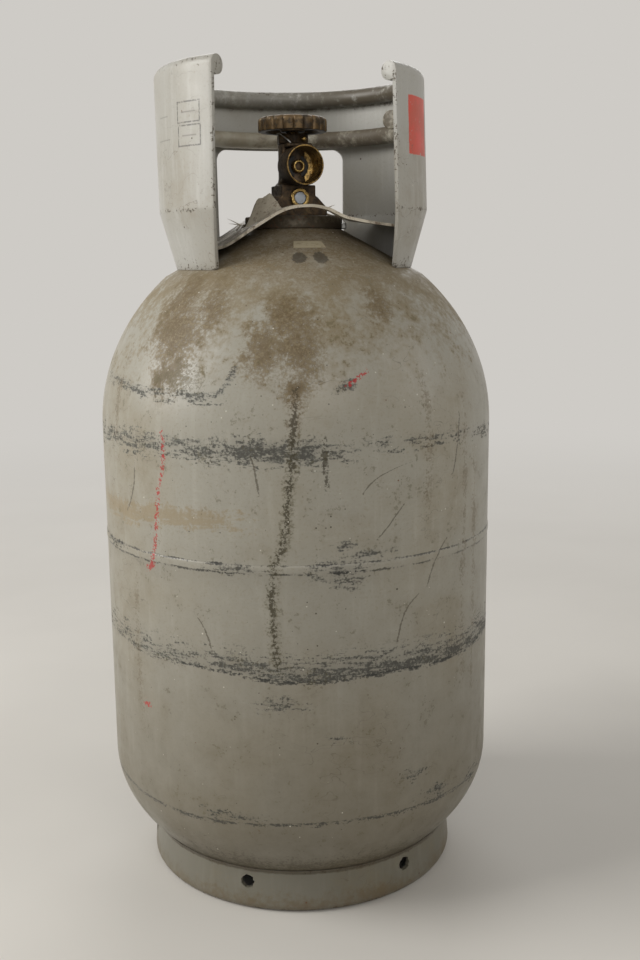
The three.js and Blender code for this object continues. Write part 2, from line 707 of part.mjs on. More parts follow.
function handwheel() {
  const rim = new THREE.ExtrudeGeometry(lobedOutline(), {
    depth: WHEEL_THICK - WHEEL_ROUND + OVERRUN,
    bevelThickness: WHEEL_ROUND,
    bevelSize: WHEEL_ROUND,
    bevelSegments: 2,
  });
  rim.translate(0, 0, wheelLowZ - OVERRUN);
  const below = rod(2 * WHEEL_R, wheelLowZ - 2 * WHEEL_THICK, wheelLowZ, 8);
  const undercut = ring(WHEEL_RIM_INNER_R, WHEEL_HUB_R, wheelLowZ - OVERRUN, wheelLowZ + WHEEL_UNDERCUT);
  const dish = rod(WHEEL_RIM_INNER_R, wheelSeatZ, wheelHighZ + OVERRUN);
  const hole = rod(spindleBoreR, wheelLowZ - OVERRUN, wheelHighZ);
  return solidOf(rim).subtract(below).subtract(undercut).subtract(dish).subtract(hole);
}

const handwheelWasher = () => ring(WASHER_R, SPINDLE_TIP_R + GAP, washerLowZ, washerLowZ + WASHER_THICK);

const handwheelNut = () =>
  hexPrism(NUT_FLATS, nutLowZ, nutTopZ).subtract(
    rod(SPINDLE_TIP_R + GAP, nutLowZ - OVERRUN, nutTopZ + OVERRUN, 16),
  );

// Bleed screw in its notched ring
const bleedRingLow = blockFront + GAP;
const bleedRingHigh = bleedRingLow + BLEED_RING_LENGTH;
const bleedSealLow = blockFront - BLEED_HOLE_DEPTH + GAP;
const bleedShankLow = bleedSealLow + BLEED_SEAL_THICK + GAP;

function bleedRing() {
  let notched = ring(BLEED_RING_R, BLEED_RING_BORE_R, bleedRingLow, bleedRingHigh);
  const notch = box(
    [0, -BLEED_NOTCH_WIDTH / 2, bleedRingHigh - BLEED_NOTCH_DEPTH],
    [BLEED_RING_R + OVERRUN, BLEED_NOTCH_WIDTH / 2, bleedRingHigh + OVERRUN],
  );
  for (let i = 0; i < BLEED_NOTCHES; i++) {
    notched = notched.subtract(notch.rotate([0, 0, BLEED_NOTCH_TURN + (i * 360) / BLEED_NOTCHES]));
  }
  return outward(notched, bleedZ);
}

function bleedScrew() {
  const turned = revolve(
    [
      [0, bleedShankLow],
      [BLEED_SHANK_R, bleedShankLow],
      [BLEED_SHANK_R, blockFront + GAP],
      [BLEED_HEAD_R, blockFront + GAP],
      [BLEED_HEAD_R, bleedRingHigh - GAP],
      [0, bleedRingHigh],
    ],
    SMALL_ROUND,
  );
  const slot = box(
    [-BLEED_HEAD_R, -BLEED_SLOT_WIDTH / 2, bleedRingHigh - BLEED_SLOT_DEPTH],
    [BLEED_HEAD_R, BLEED_SLOT_WIDTH / 2, bleedRingHigh + OVERRUN],
  );
  return outward(turned.subtract(slot.rotate([0, 0, BLEED_SLOT_TURN])), bleedZ);
}

const bleedSeal = () =>
  outward(rod(BLEED_SHANK_R, bleedSealLow, bleedSealLow + BLEED_SEAL_THICK, 16), bleedZ);

// Relief valve: a sprung poppet under a drilled cap
const poppetLow = RELIEF_SEAT + GAP;
const poppetHigh = poppetLow + POPPET_THICK;
const reliefFitR = RELIEF_BORE_R - GAP;
const reliefCapLow = RELIEF_REACH - RELIEF_CAP_LENGTH;

function reliefPoppet() {
  return inward(
    revolve(
      [
        [0, poppetLow],
        [reliefFitR, poppetLow],
        [reliefFitR, poppetHigh],
        [POPPET_STEM_R, poppetHigh],
        [POPPET_STEM_R, poppetHigh + POPPET_STEM_LENGTH],
        [0, poppetHigh + POPPET_STEM_LENGTH],
      ],
      SMALL_ROUND,
    ),
    RELIEF_Z,
  );
}

class SpringCurve extends THREE.Curve {
  getPoint(t, target = new THREE.Vector3()) {
    const low = poppetHigh + GAP + SPRING_WIRE_R;
    const high = reliefCapLow - GAP - SPRING_WIRE_R;
    const turn = 2 * Math.PI * SPRING_TURNS * t;
    return target.set(
      SPRING_R * Math.cos(turn),
      SPRING_R * Math.sin(turn),
      THREE.MathUtils.lerp(low, high, t),
    );
  }
}

function reliefSpring() {
  const wire = new THREE.Shape().absarc(0, 0, SPRING_WIRE_R, 0, 2 * Math.PI);
  const coil = new THREE.ExtrudeGeometry(wire, {
    extrudePath: new SpringCurve(),
    steps: SPRING_TURNS * SPRING_STEPS_PER_TURN,
    curveSegments: SPRING_ARC_STEPS,
  });
  return inward(solidOf(coil), RELIEF_Z);
}

const reliefCap = () =>
  inward(ring(reliefFitR, RELIEF_CAP_HOLE_R, reliefCapLow, RELIEF_REACH), RELIEF_Z);

// Assembly
const vessel = new THREE.Group();
vessel.add(
  piece("lower_shell", lowerShell(), greyPaint),
  piece("upper_shell", upperShell(), greyPaint),
  piece("foot_ring", footRing(), paleGreyPaint),
  piece("neck_ring", neckRing(), bareSteel),
);

const guard = new THREE.Group();
guard.position.z = creaseZ;
guard.add(
  piece("guard_wall", guardWall(), paleGreyPaint, knocked),
  piece("guard_rod", guardRod(), greyPaint, knocked),
  piece("guard_floor", guardFloor(), bareSteel),
);

const valve = new THREE.Group();
valve.position.z = neckTopZ;
valve.rotation.z = OUTLET_TURN;
valve.add(
  piece("valve_body", valveBody(), darkBrass),
  piece("outlet_nozzle", outletNozzle(), brightBrass),
  piece("outlet_seal", outletSeal(), blackRubber),
  piece("bonnet_nut", bonnetNut(), darkBrass),
  piece("gland_seal", glandSeal(), blackRubber),
  piece("spindle", spindle(), brightBrass),
  piece("lifting_plug", liftingPlug(), brightBrass),
  piece("seat_disc", seatDisc(), blackRubber),
  piece("handwheel", handwheel(), darkBrass),
  piece("handwheel_washer", handwheelWasher(), springSteel),
  piece("handwheel_nut", handwheelNut(), springSteel),
  piece("bleed_ring", bleedRing(), brightBrass),
  piece("bleed_screw", bleedScrew(), palePlastic),
  piece("bleed_seal", bleedSeal(), blackRubber),
  piece("relief_poppet", reliefPoppet(), brightBrass),
  piece("relief_spring", reliefSpring(), springSteel),
  piece("relief_cap", reliefCap(), darkBrass),
);

const cylinder = new THREE.Group();
cylinder.add(vessel, guard, valve);

export default cylinder;
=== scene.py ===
"""A worn grey gas cylinder: its painted vessel, sheet guard, torn floor plate and brass valve."""

import math

import bmesh
import bpy
from mathutils import Matrix, Vector, noise

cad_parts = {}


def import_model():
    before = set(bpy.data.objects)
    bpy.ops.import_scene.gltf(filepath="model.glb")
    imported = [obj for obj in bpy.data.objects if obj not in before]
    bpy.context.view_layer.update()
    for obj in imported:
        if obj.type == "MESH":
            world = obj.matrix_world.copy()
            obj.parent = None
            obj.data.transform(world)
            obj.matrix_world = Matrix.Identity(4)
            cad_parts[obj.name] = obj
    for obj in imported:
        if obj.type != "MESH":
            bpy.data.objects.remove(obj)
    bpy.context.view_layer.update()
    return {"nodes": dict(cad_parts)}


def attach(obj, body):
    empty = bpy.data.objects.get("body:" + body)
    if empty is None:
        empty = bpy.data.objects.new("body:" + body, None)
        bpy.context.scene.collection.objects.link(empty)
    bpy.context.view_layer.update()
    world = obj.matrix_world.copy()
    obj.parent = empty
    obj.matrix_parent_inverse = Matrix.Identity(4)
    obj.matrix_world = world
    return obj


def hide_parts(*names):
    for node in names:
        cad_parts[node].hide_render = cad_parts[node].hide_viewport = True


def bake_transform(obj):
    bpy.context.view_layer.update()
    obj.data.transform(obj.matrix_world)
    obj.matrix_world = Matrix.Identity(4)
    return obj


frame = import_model()

MM = 0.001
WELD = 1e-6

QUARTER = math.pi / 2
UP = Vector((0, 0, 1))

# Sizes in millimetres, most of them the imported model's. Angles count from -Y, the front, towards +X.
CLEARANCE = 0.3

BODY_R = 150
VESSEL_STEPS = 192
WALL = 2.6
SEAM_Z = 271
BEAD_HALF = 3
BEAD_PROUD = 0.5
SHOULDER_Z = 354
SHOULDER_SWEEP = math.pi / 4
CREASE_R = 98
CREASE_Z = 464.4
CROWN_SLOPE = 0.55
KNUCKLE_Z = 95
KNUCKLE_SWEEP = 0.478
KNUCKLE_END_R = 116.9
KNUCKLE_END_Z = 30.5
DISH_Z = 9
DISH_FLAT_R = 93
NECK_HOLE_R = 30.3

FOOT_R = 121.8
FOOT_TOP_R = 119.9
FOOT_HEIGHT = 31.2
FOOT_WALL = 3
FOOT_CURL_R = 6
FOOT_LIP = 4
FOOT_INNER_DROP = 2.5
FOOT_STEP = 2.5
FOOT_FILLET = [(0, 0), (0.5, 0.7), (1.1, 2.7)]
DRAIN_COUNT = 6
DRAIN_R = 5
DRAIN_Z = 22.4
DRAIN_FIRST = -27

NECK_R = 37
NECK_TOP_Z = 508
NECK_LOW_Z = 486
STEM_R = 13

SHEET = 3
GUARD_BASE_R = 89.3
GUARD_CREASE_R = 101
GUARD_CREASE_Z = 511.5
GUARD_TOP_R = 98.3
GUARD_TOP_Z = 611
ROLL_R = 6.5
OPENING = 40
OPENING_LOW_LEFT = 46
OPENING_LOW_RIGHT = 49.5
WINDOW_HALF = 52
WINDOW_LOW_Z = 488
WINDOW_HIGH_Z = 565
WINDOW_CORNER_R = 9
ROD_R = 6.5
ROD_Z = 572.3
ROD_FROM = 43
ROD_TO = 312
BULGE = 4
BULGE_ANGLE = -100
LIFT = 2.9
LIFT_ANGLE = -45

PLATE = 2
PLATE_FRONT_Y = 56
PLATE_BACK_Y = 60
PLATE_HOLE_R = 41.5
PLATE_FOLD = 2.5
PLATE_TILT = 0.05
PLATE_ARCH = [
    (-96, 484), (-60, 486), (-37, 499), (-14, 512), (4, 515), (18, 513), (33, 506.5), (69, 500.5), (96, 498),
]
FLAP_EDGE = [(-65, 0.0), (-60, 0.6), (-55, 0.85), (-37, 1.0), (-25, 0.5), (-19, 0.0)]
FLAP_LEAN_R = 33.5
FLAP_TOP_Z = 524

# Torn slivers: each point as degrees, distance outside the plate's hole and rise over the plate
SLIVER_ROOT = (-98, 2.5, 0)
SLIVER_ELBOW = (-98, -1.6, 2.3)
SLIVER_TIPS = [(-97, 9.2, 13.1), (-97, 7.8, 8.6)]
SPIKE_ROOT = (27, 1.5, 0)
SPIKE_TIP = (37, 2.4, 4.6)
SLIVER_R = 1.4
SLIVER_TIP_R = 0.2

OUTLET_TURN = math.radians(13)
BASE_R = 25.5
BASE_SHOULDER_Z = 514.5
BASE_TOP_R = 18
BASE_TOP_Z = 523
BASE_FLAT = 12.5
BLOCK_WIDTH = 27
BLOCK_LOW_Z = 513
BLOCK_HIGH_Z = 531
COLUMN_R = 11
COLUMN_BORE_R = 6.2
VALVE_SEAT_Z = 534
CHEST_WIDTH = 23
BROW_WIDTH = 20
BROW_REACH = 17
COLUMN_TOP_Z = 561
FORGING_GRAIN = 0.55
OUTLET_Z = 544.5
OUTLET_R = 14.6
OUTLET_REACH = 27.5
SOCKET_R = 12.4
SOCKET_FLOOR = 9
RELIEF_Z = 527.5
RELIEF_R = 8.3
RELIEF_REACH = 23
RELIEF_BORE_R = 5.5
RELIEF_SEAT = 9
RELIEF_CAP_LENGTH = 4
POPPET_TOP = 12.3
COIL_R = 3.8
COIL_WIRE_R = 0.4
COIL_TURNS = 3
BONNET_FLATS = 22
BONNET_LOW_Z = 561.3
BONNET_TOP_Z = 568
BONNET_BORE_R = 4.7
WHEEL_R = 26
WHEEL_LOW_Z = 570
WHEEL_HIGH_Z = 580.5
WHEEL_LOBES = 20
WHEEL_GROOVE = 1.5
WHEEL_RIM_R = 20.5
WHEEL_HUB_R = 9
WHEEL_BORE_R = 4.6
WHEEL_UNDERCUT = 3
WHEEL_DISH = 5
WHEEL_ROUND = 3.5
WHEEL_SEAT_Z = WHEEL_HIGH_Z - WHEEL_DISH
NUT_FLATS = 11
NUT_BORE_R = 3.2
NUT_LOW_Z = WHEEL_SEAT_Z + 1.6
NUT_HIGH_Z = WHEEL_SEAT_Z + 6.1
PIN_SIDE = 4.5
PIN_Z = 564.4
WIRE_R = 0.6
WIRE_PATH = [
    (-3.2, -13.4, 561.4), (-5.4, -12.8, 563.6), (-8.2, -11.0, 566.2), (-10.6, -9.6, 568.4),
    (-12.2, -8.4, 568.2),
]
TAB_SIZE = (6, 5.5, 5)
TAB_Z = 501
TAB_TURN = math.radians(-12)
BLEED_Z = 521.4
BLEED_RING_R = 7.1
BLEED_BORE_R = 4.7
BLEED_RING_LENGTH = 3
BLEED_NOTCHES = 3
BLEED_HEAD_R = 4.3
BLEED_SHANK_R = 2.6
BLEED_SHANK = 5


# Shaping

def lerp(a, b, share):
    return a + (b - a) * share


def read_table(table, value):
    """A straight-line reading of a list of (input, output) pairs."""
    if value <= table[0][0]:
        return table[0][1]
    for (x0, y0), (x1, y1) in zip(table, table[1:]):
        if value <= x1:
            return lerp(y0, y1, (value - x0) / (x1 - x0))
    return table[-1][1]


def smooth_table(table, value):
    """A smooth reading of the same kind of list, through every point."""
    last = len(table) - 1
    value = min(max(value, table[0][0]), table[last][0])
    i = max(k for k in range(last) if table[k][0] <= value)
    (x0, y0), (x1, y1) = table[i], table[i + 1]

    def slope(k):
        low, high = table[max(k - 1, 0)], table[min(k + 1, last)]
        return (high[1] - low[1]) / (high[0] - low[0])

    span = x1 - x0
    t = (value - x0) / span
    rise = y0 * (2 * t**3 - 3 * t**2 + 1) + y1 * (3 * t**2 - 2 * t**3)
    return rise + span * (slope(i) * (t**3 - 2 * t**2 + t) + slope(i + 1) * (t**3 - t**2))


def arc(centre, radii, start, end, steps):
    """Points on an ellipse from one angle to another, in radians."""
    angles = [lerp(start, end, i / steps) for i in range(steps + 1)]
    return [(centre[0] + radii[0] * math.cos(a), centre[1] + radii[1] * math.sin(a)) for a in angles]


def leg(start, end, step):
    """Points along a straight line, both ends included."""
    count = max(1, round(math.dist(start, end) / step))
    return [tuple(lerp(a, b, i / count) for a, b in zip(start, end)) for i in range(count + 1)]


def bend(start, corner, end, steps):
    """Points on a curve from start to end, drawn towards a corner."""
    shares = [i / steps for i in range(steps + 1)]
    return [tuple(start * (1 - t) ** 2 + corner * 2 * t * (1 - t) + end * t**2) for t in shares]


def eased(points, reach, steps=3, least=25):
    """A closed outline with each corner sharper than some degrees turned into a small curve."""
    most = 0.45
    out = []
    for before, corner, after in zip(points[-1:] + points[:-1], points, points[1:] + points[:1]):
        point = Vector(corner)
        into, onto = point - Vector(before), Vector(after) - point
        if into.length < WELD or onto.length < WELD or math.degrees(abs(into.angle_signed(onto))) < least:
            out.append(tuple(corner))
            continue
        start = point - into.normalized() * min(reach, into.length * most)
        end = point + onto.normalized() * min(reach, onto.length * most)
        out += bend(start, point, end, steps)
    return out


def band(inner, outer, low, high):
    """A rectangular section between two radii and two heights."""
    return [(inner, low), (outer, low), (outer, high), (inner, high)]


def turned(section, steps, start=0.0, sweep=360.0):
    """A section of (radius, height) points turned round the Z axis, closed at both ends if it stops short."""
    bm = bmesh.new()
    verts = [bm.verts.new((r * MM, 0, z * MM)) for r, z in section]
    whole = sweep >= 360
    if whole:
        for a, b in zip(verts, verts[1:] + verts[:1]):
            if a.co.xy.length > WELD or b.co.xy.length > WELD:
                bm.edges.new((a, b))
    else:
        bm.faces.new(verts)
    bmesh.ops.rotate(bm, verts=bm.verts, matrix=Matrix.Rotation(math.radians(start - 90), 3, "Z"))
    bmesh.ops.spin(
        bm, geom=bm.verts[:] + bm.edges[:] + bm.faces[:], axis=(0, 0, 1), cent=(0, 0, 0),
        angle=math.radians(sweep), steps=steps, use_merge=whole,
    )
    bmesh.ops.remove_doubles(bm, verts=bm.verts, dist=WELD)
    bmesh.ops.recalc_face_normals(bm, faces=bm.faces)
    return bm


def punch(bm, centre, right, up, outline, margin):
    """Cuts a hole with a convex outline through a double wall and closes the hole's edge."""
    axis = right.cross(up)

    def flat(face):
        """A face's middle in the outline's plane, or None for a face on the far side."""
        offset = face.calc_center_median() - centre
        if offset.dot(axis) < -margin * 2:
            return None
        return Vector((offset.dot(right), offset.dot(up)))

    def near(face, start, end):
        point = flat(face)
        if point is None:
            return False
        along = end - start
        share = min(max((point - start).dot(along) / along.length_squared, 0), 1)
        return (point - start - along * share).length < margin

    def inside(face):
        point = flat(face)
        return point is not None and all((e - s).cross(point - s) > 0 for s, e in sides)

    corners = [Vector(p) * MM for p in outline]
    sides = list(zip(corners, corners[1:] + corners[:1]))
    for start, end in sides:
        faces = [f for f in bm.faces if near(f, start, end)]
        edges = list({e for f in faces for e in f.edges})
        verts = list({v for f in faces for v in f.verts})
        across = Vector((end.y - start.y, start.x - end.x))
        bmesh.ops.bisect_plane(
            bm, geom=verts + edges + faces, dist=WELD,
            plane_co=centre + right * start.x + up * start.y,
            plane_no=right * across.x + up * across.y,
        )
    bmesh.ops.delete(bm, geom=[f for f in bm.faces if inside(f)], context="FACES")
    bmesh.ops.bridge_loops(bm, edges=[e for e in bm.edges if e.is_boundary])


def sharp_edges(bm, degrees):
    return [e for e in bm.edges if e.calc_face_angle(0) > math.radians(degrees)]


def rounded(bm, edges, offset, segments=3, clamp=False):
    """Rounds edges off by an offset in millimetres."""
    bmesh.ops.bevel(
        bm, geom=edges, offset=offset * MM, offset_type="OFFSET", segments=segments, profile=0.5,
        affect="EDGES", material=-1, clamp_overlap=clamp,
    )


def box(size, middle):
    """A box by its size and its middle."""
    bm = bmesh.new()
    scale = Matrix.Diagonal((*[side * MM for side in size], 1))
    bmesh.ops.create_cube(bm, size=1, matrix=Matrix.Translation([m * MM for m in middle]) @ scale)
    return bm


def hexagon(flats, low, high, bore, ease):
    """A hexagonal nut along Z with a round hole and rounded edges."""
    side_points = 8
    bm = bmesh.new()
    corner_r = flats / 2 / math.cos(math.pi / 6)
    bmesh.ops.create_circle(bm, segments=6, radius=corner_r * MM)
    bmesh.ops.subdivide_edges(bm, edges=bm.edges[:], cuts=side_points - 1)
    bmesh.ops.create_circle(bm, segments=6 * side_points, radius=bore * MM)
    bmesh.ops.bridge_loops(bm, edges=bm.edges[:])
    bmesh.ops.translate(bm, verts=bm.verts, vec=(0, 0, low * MM))
    made = bmesh.ops.extrude_face_region(bm, geom=bm.faces[:])["geom"]
    top = [v for v in made if isinstance(v, bmesh.types.BMVert)]
    bmesh.ops.translate(bm, verts=top, vec=(0, 0, (high - low) * MM))
    bmesh.ops.recalc_face_normals(bm, faces=bm.faces)
    rounded(bm, sharp_edges(bm, 40), ease, 2)
    return bm


def join(bm, other):
    """Adds a second shape to the first."""
    mesh = bpy.data.meshes.new("joined")
    other.to_mesh(mesh)
    other.free()
    bm.from_mesh(mesh)
    bpy.data.meshes.remove(mesh)
    return bm


def moved(bm, matrix):
    bmesh.ops.transform(bm, matrix=matrix, verts=bm.verts)
    return bm


VALVE = Matrix.Rotation(OUTLET_TURN, 4, "Z")


def outward(z):
    """Turns a shape made along +Z so that it points out of the valve's front, at a height."""
    return Matrix.Translation((0, 0, z * MM)) @ (VALVE @ Matrix.Rotation(QUARTER, 4, "X"))


def inward(z):
    """The same, out of the valve's back."""
    return Matrix.Translation((0, 0, z * MM)) @ (VALVE @ Matrix.Rotation(-QUARTER, 4, "X"))


def between(start, end):
    """Turns a shape made along Z round its middle so that it lies between two points."""
    turn = (end - start).to_track_quat("Z", "Y").to_matrix().to_4x4()
    return Matrix.Translation((start + end) / 2) @ turn


def polar(point):
    """Radius and angle of a point, in millimetres and degrees."""
    return point.xy.length / MM, math.degrees(math.atan2(point.x, -point.y))


def polar_point(r, degrees, z):
    a = math.radians(degrees)
    return Vector((r * math.sin(a), -r * math.cos(a), z)) * MM


def piece(name, bm, material, body="vessel", replaces=(), crisp=38):
    """Makes a shape a smooth piece that rides on a body, if one is given, and replaces the nodes named."""
    bmesh.ops.remove_doubles(bm, verts=bm.verts, dist=WELD)
    bmesh.ops.recalc_face_normals(bm, faces=bm.faces)
    mesh = bpy.data.meshes.new(name)
    bm.to_mesh(mesh)
    bm.free()
    mesh.materials.append(material)
    for face in mesh.polygons:
        face.use_smooth = True
    mesh.set_sharp_from_angle(angle=math.radians(crisp))
    obj = bpy.data.objects.new(name, mesh)
    bpy.context.scene.collection.objects.link(obj)
    if body:
        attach(obj, body)
    if replaces:
        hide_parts(*replaces)
    return obj


# Finishes

def tone(red, green, blue):
    """A colour written as it looks on screen, 0 to 255, in the renderer's own scale."""
    def straight(c):
        c /= 255
        return c / 12.92 if c <= 0.04045 else ((c + 0.055) / 1.055) ** 2.4
    return straight(red), straight(green), straight(blue), 1.0


class Finish:
    """A material and short calls for its nodes. A call takes numbers or other nodes' outputs."""

    def __init__(self, name):
        self.material = bpy.data.materials.new(name)
        self.material.use_nodes = True
        self.tree = self.material.node_tree
        self.shader = self.tree.nodes["Principled BSDF"]
        self.place = self.node("ShaderNodeTexCoord").outputs["Object"]
        self.x, self.y, self.z = self.node("ShaderNodeSeparateXYZ", {0: self.place}).outputs

    def node(self, kind, inputs=None, **settings):
        made = self.tree.nodes.new(kind)
        for key, value in settings.items():
            setattr(made, key, value)
        for key, value in (inputs or {}).items():
            self.feed(made.inputs[key], value)
        return made

    def feed(self, socket, value):
        if isinstance(value, bpy.types.NodeSocket):
            self.tree.links.new(value, socket)
        else:
            socket.default_value = value

    def math(self, operation, a, b=0.0, c=0.0, clamp=False):
        made = self.node("ShaderNodeMath", {0: a, 1: b, 2: c}, operation=operation, use_clamp=clamp)
        return made.outputs[0]

    def both(self, a, b):
        return self.math("MULTIPLY", a, b, clamp=True)

    def either(self, *masks):
        out = masks[0]
        for mask in masks[1:]:
            out = self.math("MAXIMUM", out, mask)
        return out

    def less(self, mask, share):
        return self.math("MULTIPLY", mask, share, clamp=True)

    def apart(self, a, b):
        """How far two values are from each other."""
        return self.math("ABSOLUTE", self.math("SUBTRACT", a, b))

    def noise(self, scale, detail, roughness, stretch=None):
        place = self.place
        if stretch:
            inputs = {0: self.place, 1: stretch}
            place = self.node("ShaderNodeVectorMath", inputs, operation="MULTIPLY").outputs[0]
        inputs = {"Vector": place, "Scale": scale, "Detail": detail, "Roughness": roughness}
        return self.node("ShaderNodeTexNoise", inputs).outputs[0]

    def ramp(self, value, low, high):
        """0 at low, 1 at high, with a smooth step between. low may be above high."""
        inputs = {"Value": value, "From Min": low, "From Max": high, "To Min": 0.0, "To Max": 1.0}
        if low > high:
            inputs.update({"From Min": high, "From Max": low, "To Min": 1.0, "To Max": 0.0})
        made = self.node("ShaderNodeMapRange", inputs, interpolation_type="SMOOTHSTEP", clamp=True)
        return made.outputs[0]

    def mix(self, share, a, b):
        return self.node("ShaderNodeMix", {0: share, 6: a, 7: b}, data_type="RGBA").outputs[2]

    def coat(self, colour, mask, share, top):
        """Lays a second colour over the first where a mask is, at most by a share."""
        return self.mix(self.less(mask, share), colour, top)

    def level(self, share, a, b):
        return self.node("ShaderNodeMix", {0: share, 2: a, 3: b}, data_type="FLOAT").outputs[0]

    def round_axis(self, radius):
        """Distance round the axis from the front and height, both in millimetres."""
        behind = self.math("MULTIPLY", self.y, -1.0)
        angle = self.math("ARCTAN2", self.x, behind)
        self.u = self.math("MULTIPLY", angle, radius)
        self.v = self.math("MULTIPLY", self.z, 1 / MM)
        self.radius = radius

    def arc_mm(self, degrees):
        return math.radians(degrees) * self.radius

    def fields(self):
        """Noises that the marks share: wide, middling, fine and gritty ones, and streaks that lie or hang."""
        self.big = self.noise(11, 2, 0.6)
        self.mid = self.noise(48, 3, 0.65)
        self.fine = self.noise(210, 3, 0.7)
        self.stipple = self.noise(520, 2, 0.72)
        self.grit = self.noise(1000, 1, 0.5)
        self.lying = self.noise(75, 3, 0.72, (1, 1, 5))
        self.hanging = self.noise(60, 2, 0.65, (2.5, 2.5, 0.25))

    def sway(self, value, field, reach):
        """A coordinate shaken by a noise, so that a mark's edge isn't ruled."""
        return self.math("MULTIPLY_ADD", field, 2 * reach, self.math("SUBTRACT", value, reach))

    def cover(self, density, grain, low, high):
        """Breaks a soft density up into a mark with grain, given as pairs of a noise and its weight."""
        total = density
        for field, weight in grain:
            total = self.math("MULTIPLY_ADD", field, weight, total)
        middle = sum(weight for _, weight in grain) / 2
        return self.both(self.ramp(total, low + middle, high + middle), self.ramp(density, 0.0, 0.12))

    def spot(self, u, v, degrees, height, half_wide, half_high):
        """An oval density: 1 in its middle, 0 at its edge."""
        across = self.math("DIVIDE", self.math("SUBTRACT", u, self.arc_mm(degrees)), half_wide)
        along = self.math("DIVIDE", self.math("SUBTRACT", v, height), half_high)
        square = self.math("MULTIPLY_ADD", across, across, self.math("MULTIPLY", along, along))
        return self.ramp(self.math("SQRT", square), 1.0, 0.0)

    def block(self, u, v, left, right, low, high, soft=0.6):
        """A rectangular mark between two angles and two heights."""
        left, right = self.arc_mm(left), self.arc_mm(right)
        wide = self.apart(u, (left + right) / 2)
        tall = self.apart(v, (low + high) / 2)
        room = self.math("MINIMUM", self.math("SUBTRACT", (right - left) / 2, wide),
                         self.math("SUBTRACT", (high - low) / 2, tall))
        return self.ramp(room, 0.0, soft)

    def follow(self, along, path):
        """Reads a smooth line through a few (along, across) points, in millimetres."""
        path = sorted(path)
        first, last = path[0][0], path[-1][0]
        low = min(across for _, across in path) - 1
        high = max(across for _, across in path) + 1
        share = self.math("DIVIDE", self.math("SUBTRACT", along, first), last - first, clamp=True)
        curve = self.node("ShaderNodeFloatCurve", {"Factor": 1.0, "Value": share})
        points = curve.mapping.curves[0].points
        while len(points) < len(path):
            points.new(0.5, 0.5)
        for point, (a, across) in zip(points, path):
            point.location = ((a - first) / (last - first), (across - low) / (high - low))
        curve.mapping.update()
        return self.math("MULTIPLY_ADD", curve.outputs[0], high - low, low)

    def trail(self, along, across, path, half, fade):
        """A line's density along a few points: 1 on the line, 0 at half its width, faded at its ends."""
        off = self.apart(across, self.follow(along, path))
        first, last = min(path)[0], max(path)[0]
        begin = self.ramp(along, first - fade, first + fade)
        end = self.ramp(along, last + fade, last - fade)
        return self.both(self.ramp(off, half, 0.0), self.both(begin, end))

    def down(self, path):
        """(degrees, height) points as (height, distance round) points for a trail that runs down."""
        return [(height, self.arc_mm(degrees)) for degrees, height in path]

    def round(self, path):
        """(degrees, height) points as (distance round, height) points for a trail that runs round."""
        return [(self.arc_mm(degrees), height) for degrees, height in path]

    def specks(self, colour, scale, kinds):
        """Scattered specks: each kind is a share of the cells, a size in cells and a tone."""
        step = 1e-3
        cells = self.node("ShaderNodeTexVoronoi", {"Vector": self.place, "Scale": scale})
        luck, size, _ = self.node("ShaderNodeSeparateColor", {0: cells.outputs["Color"]}).outputs
        reach = self.math("MULTIPLY", cells.outputs["Distance"], self.math("MULTIPLY_ADD", size, 1.4, 0.6))
        start = 0.0
        for share, radius, speck_tone in kinds:
            end = start + share
            chosen = self.both(self.ramp(luck, start, start + step), self.ramp(luck, end, end - step))
            speck = self.both(chosen, self.ramp(reach, radius, radius * 0.55))
            colour = self.mix(speck, colour, speck_tone)
            start = end
        return colour

    def hairs(self, scale, flatten, width, patches):
        """Hair scratches: thin lines where a noise is middling, within patches."""
        line = self.apart(self.noise(scale, 3, 0.5, (1, 1, flatten)), 0.5)
        return self.both(self.ramp(line, *width), self.ramp(self.big, *patches))

    def bump(self, height, depth, strength):
        inputs = {"Height": height, "Distance": depth, "Strength": strength}
        return self.node("ShaderNodeBump", inputs).outputs[0]

    def finish(self, colour, roughness, metallic=0.0, normal=None):
        self.feed(self.shader.inputs["Base Color"], colour)
        self.feed(self.shader.inputs["Roughness"], roughness)
        self.feed(self.shader.inputs["Metallic"], metallic)
        if normal is not None:
            self.feed(self.shader.inputs["Normal"], normal)
        return self.material

    def painted(self, colour, roughness, normal):
        """Finishes the material as paint."""
        self.shader.inputs["IOR"].default_value = PAINT_IOR
        return self.finish(colour, roughness, 0.0, normal)

    def worn_paint(self, colour, dirty, clean_rough, dirty_rough, hairs):
        """Finishes old paint: rougher where it is dirty, a little uneven, and cut by hair scratches."""
        rough = self.level(dirty, clean_rough, dirty_rough)
        rough = self.math("MULTIPLY_ADD", self.math("SUBTRACT", self.mid, 0.5), 0.3, rough)
        skin = self.math("MULTIPLY_ADD", self.grit, 0.14, self.math("MULTIPLY", self.fine, 0.25))
        skin = self.math("SUBTRACT", skin, self.less(hairs, 0.5))
        return self.painted(colour, rough, self.bump(skin, 0.0003, 0.5))


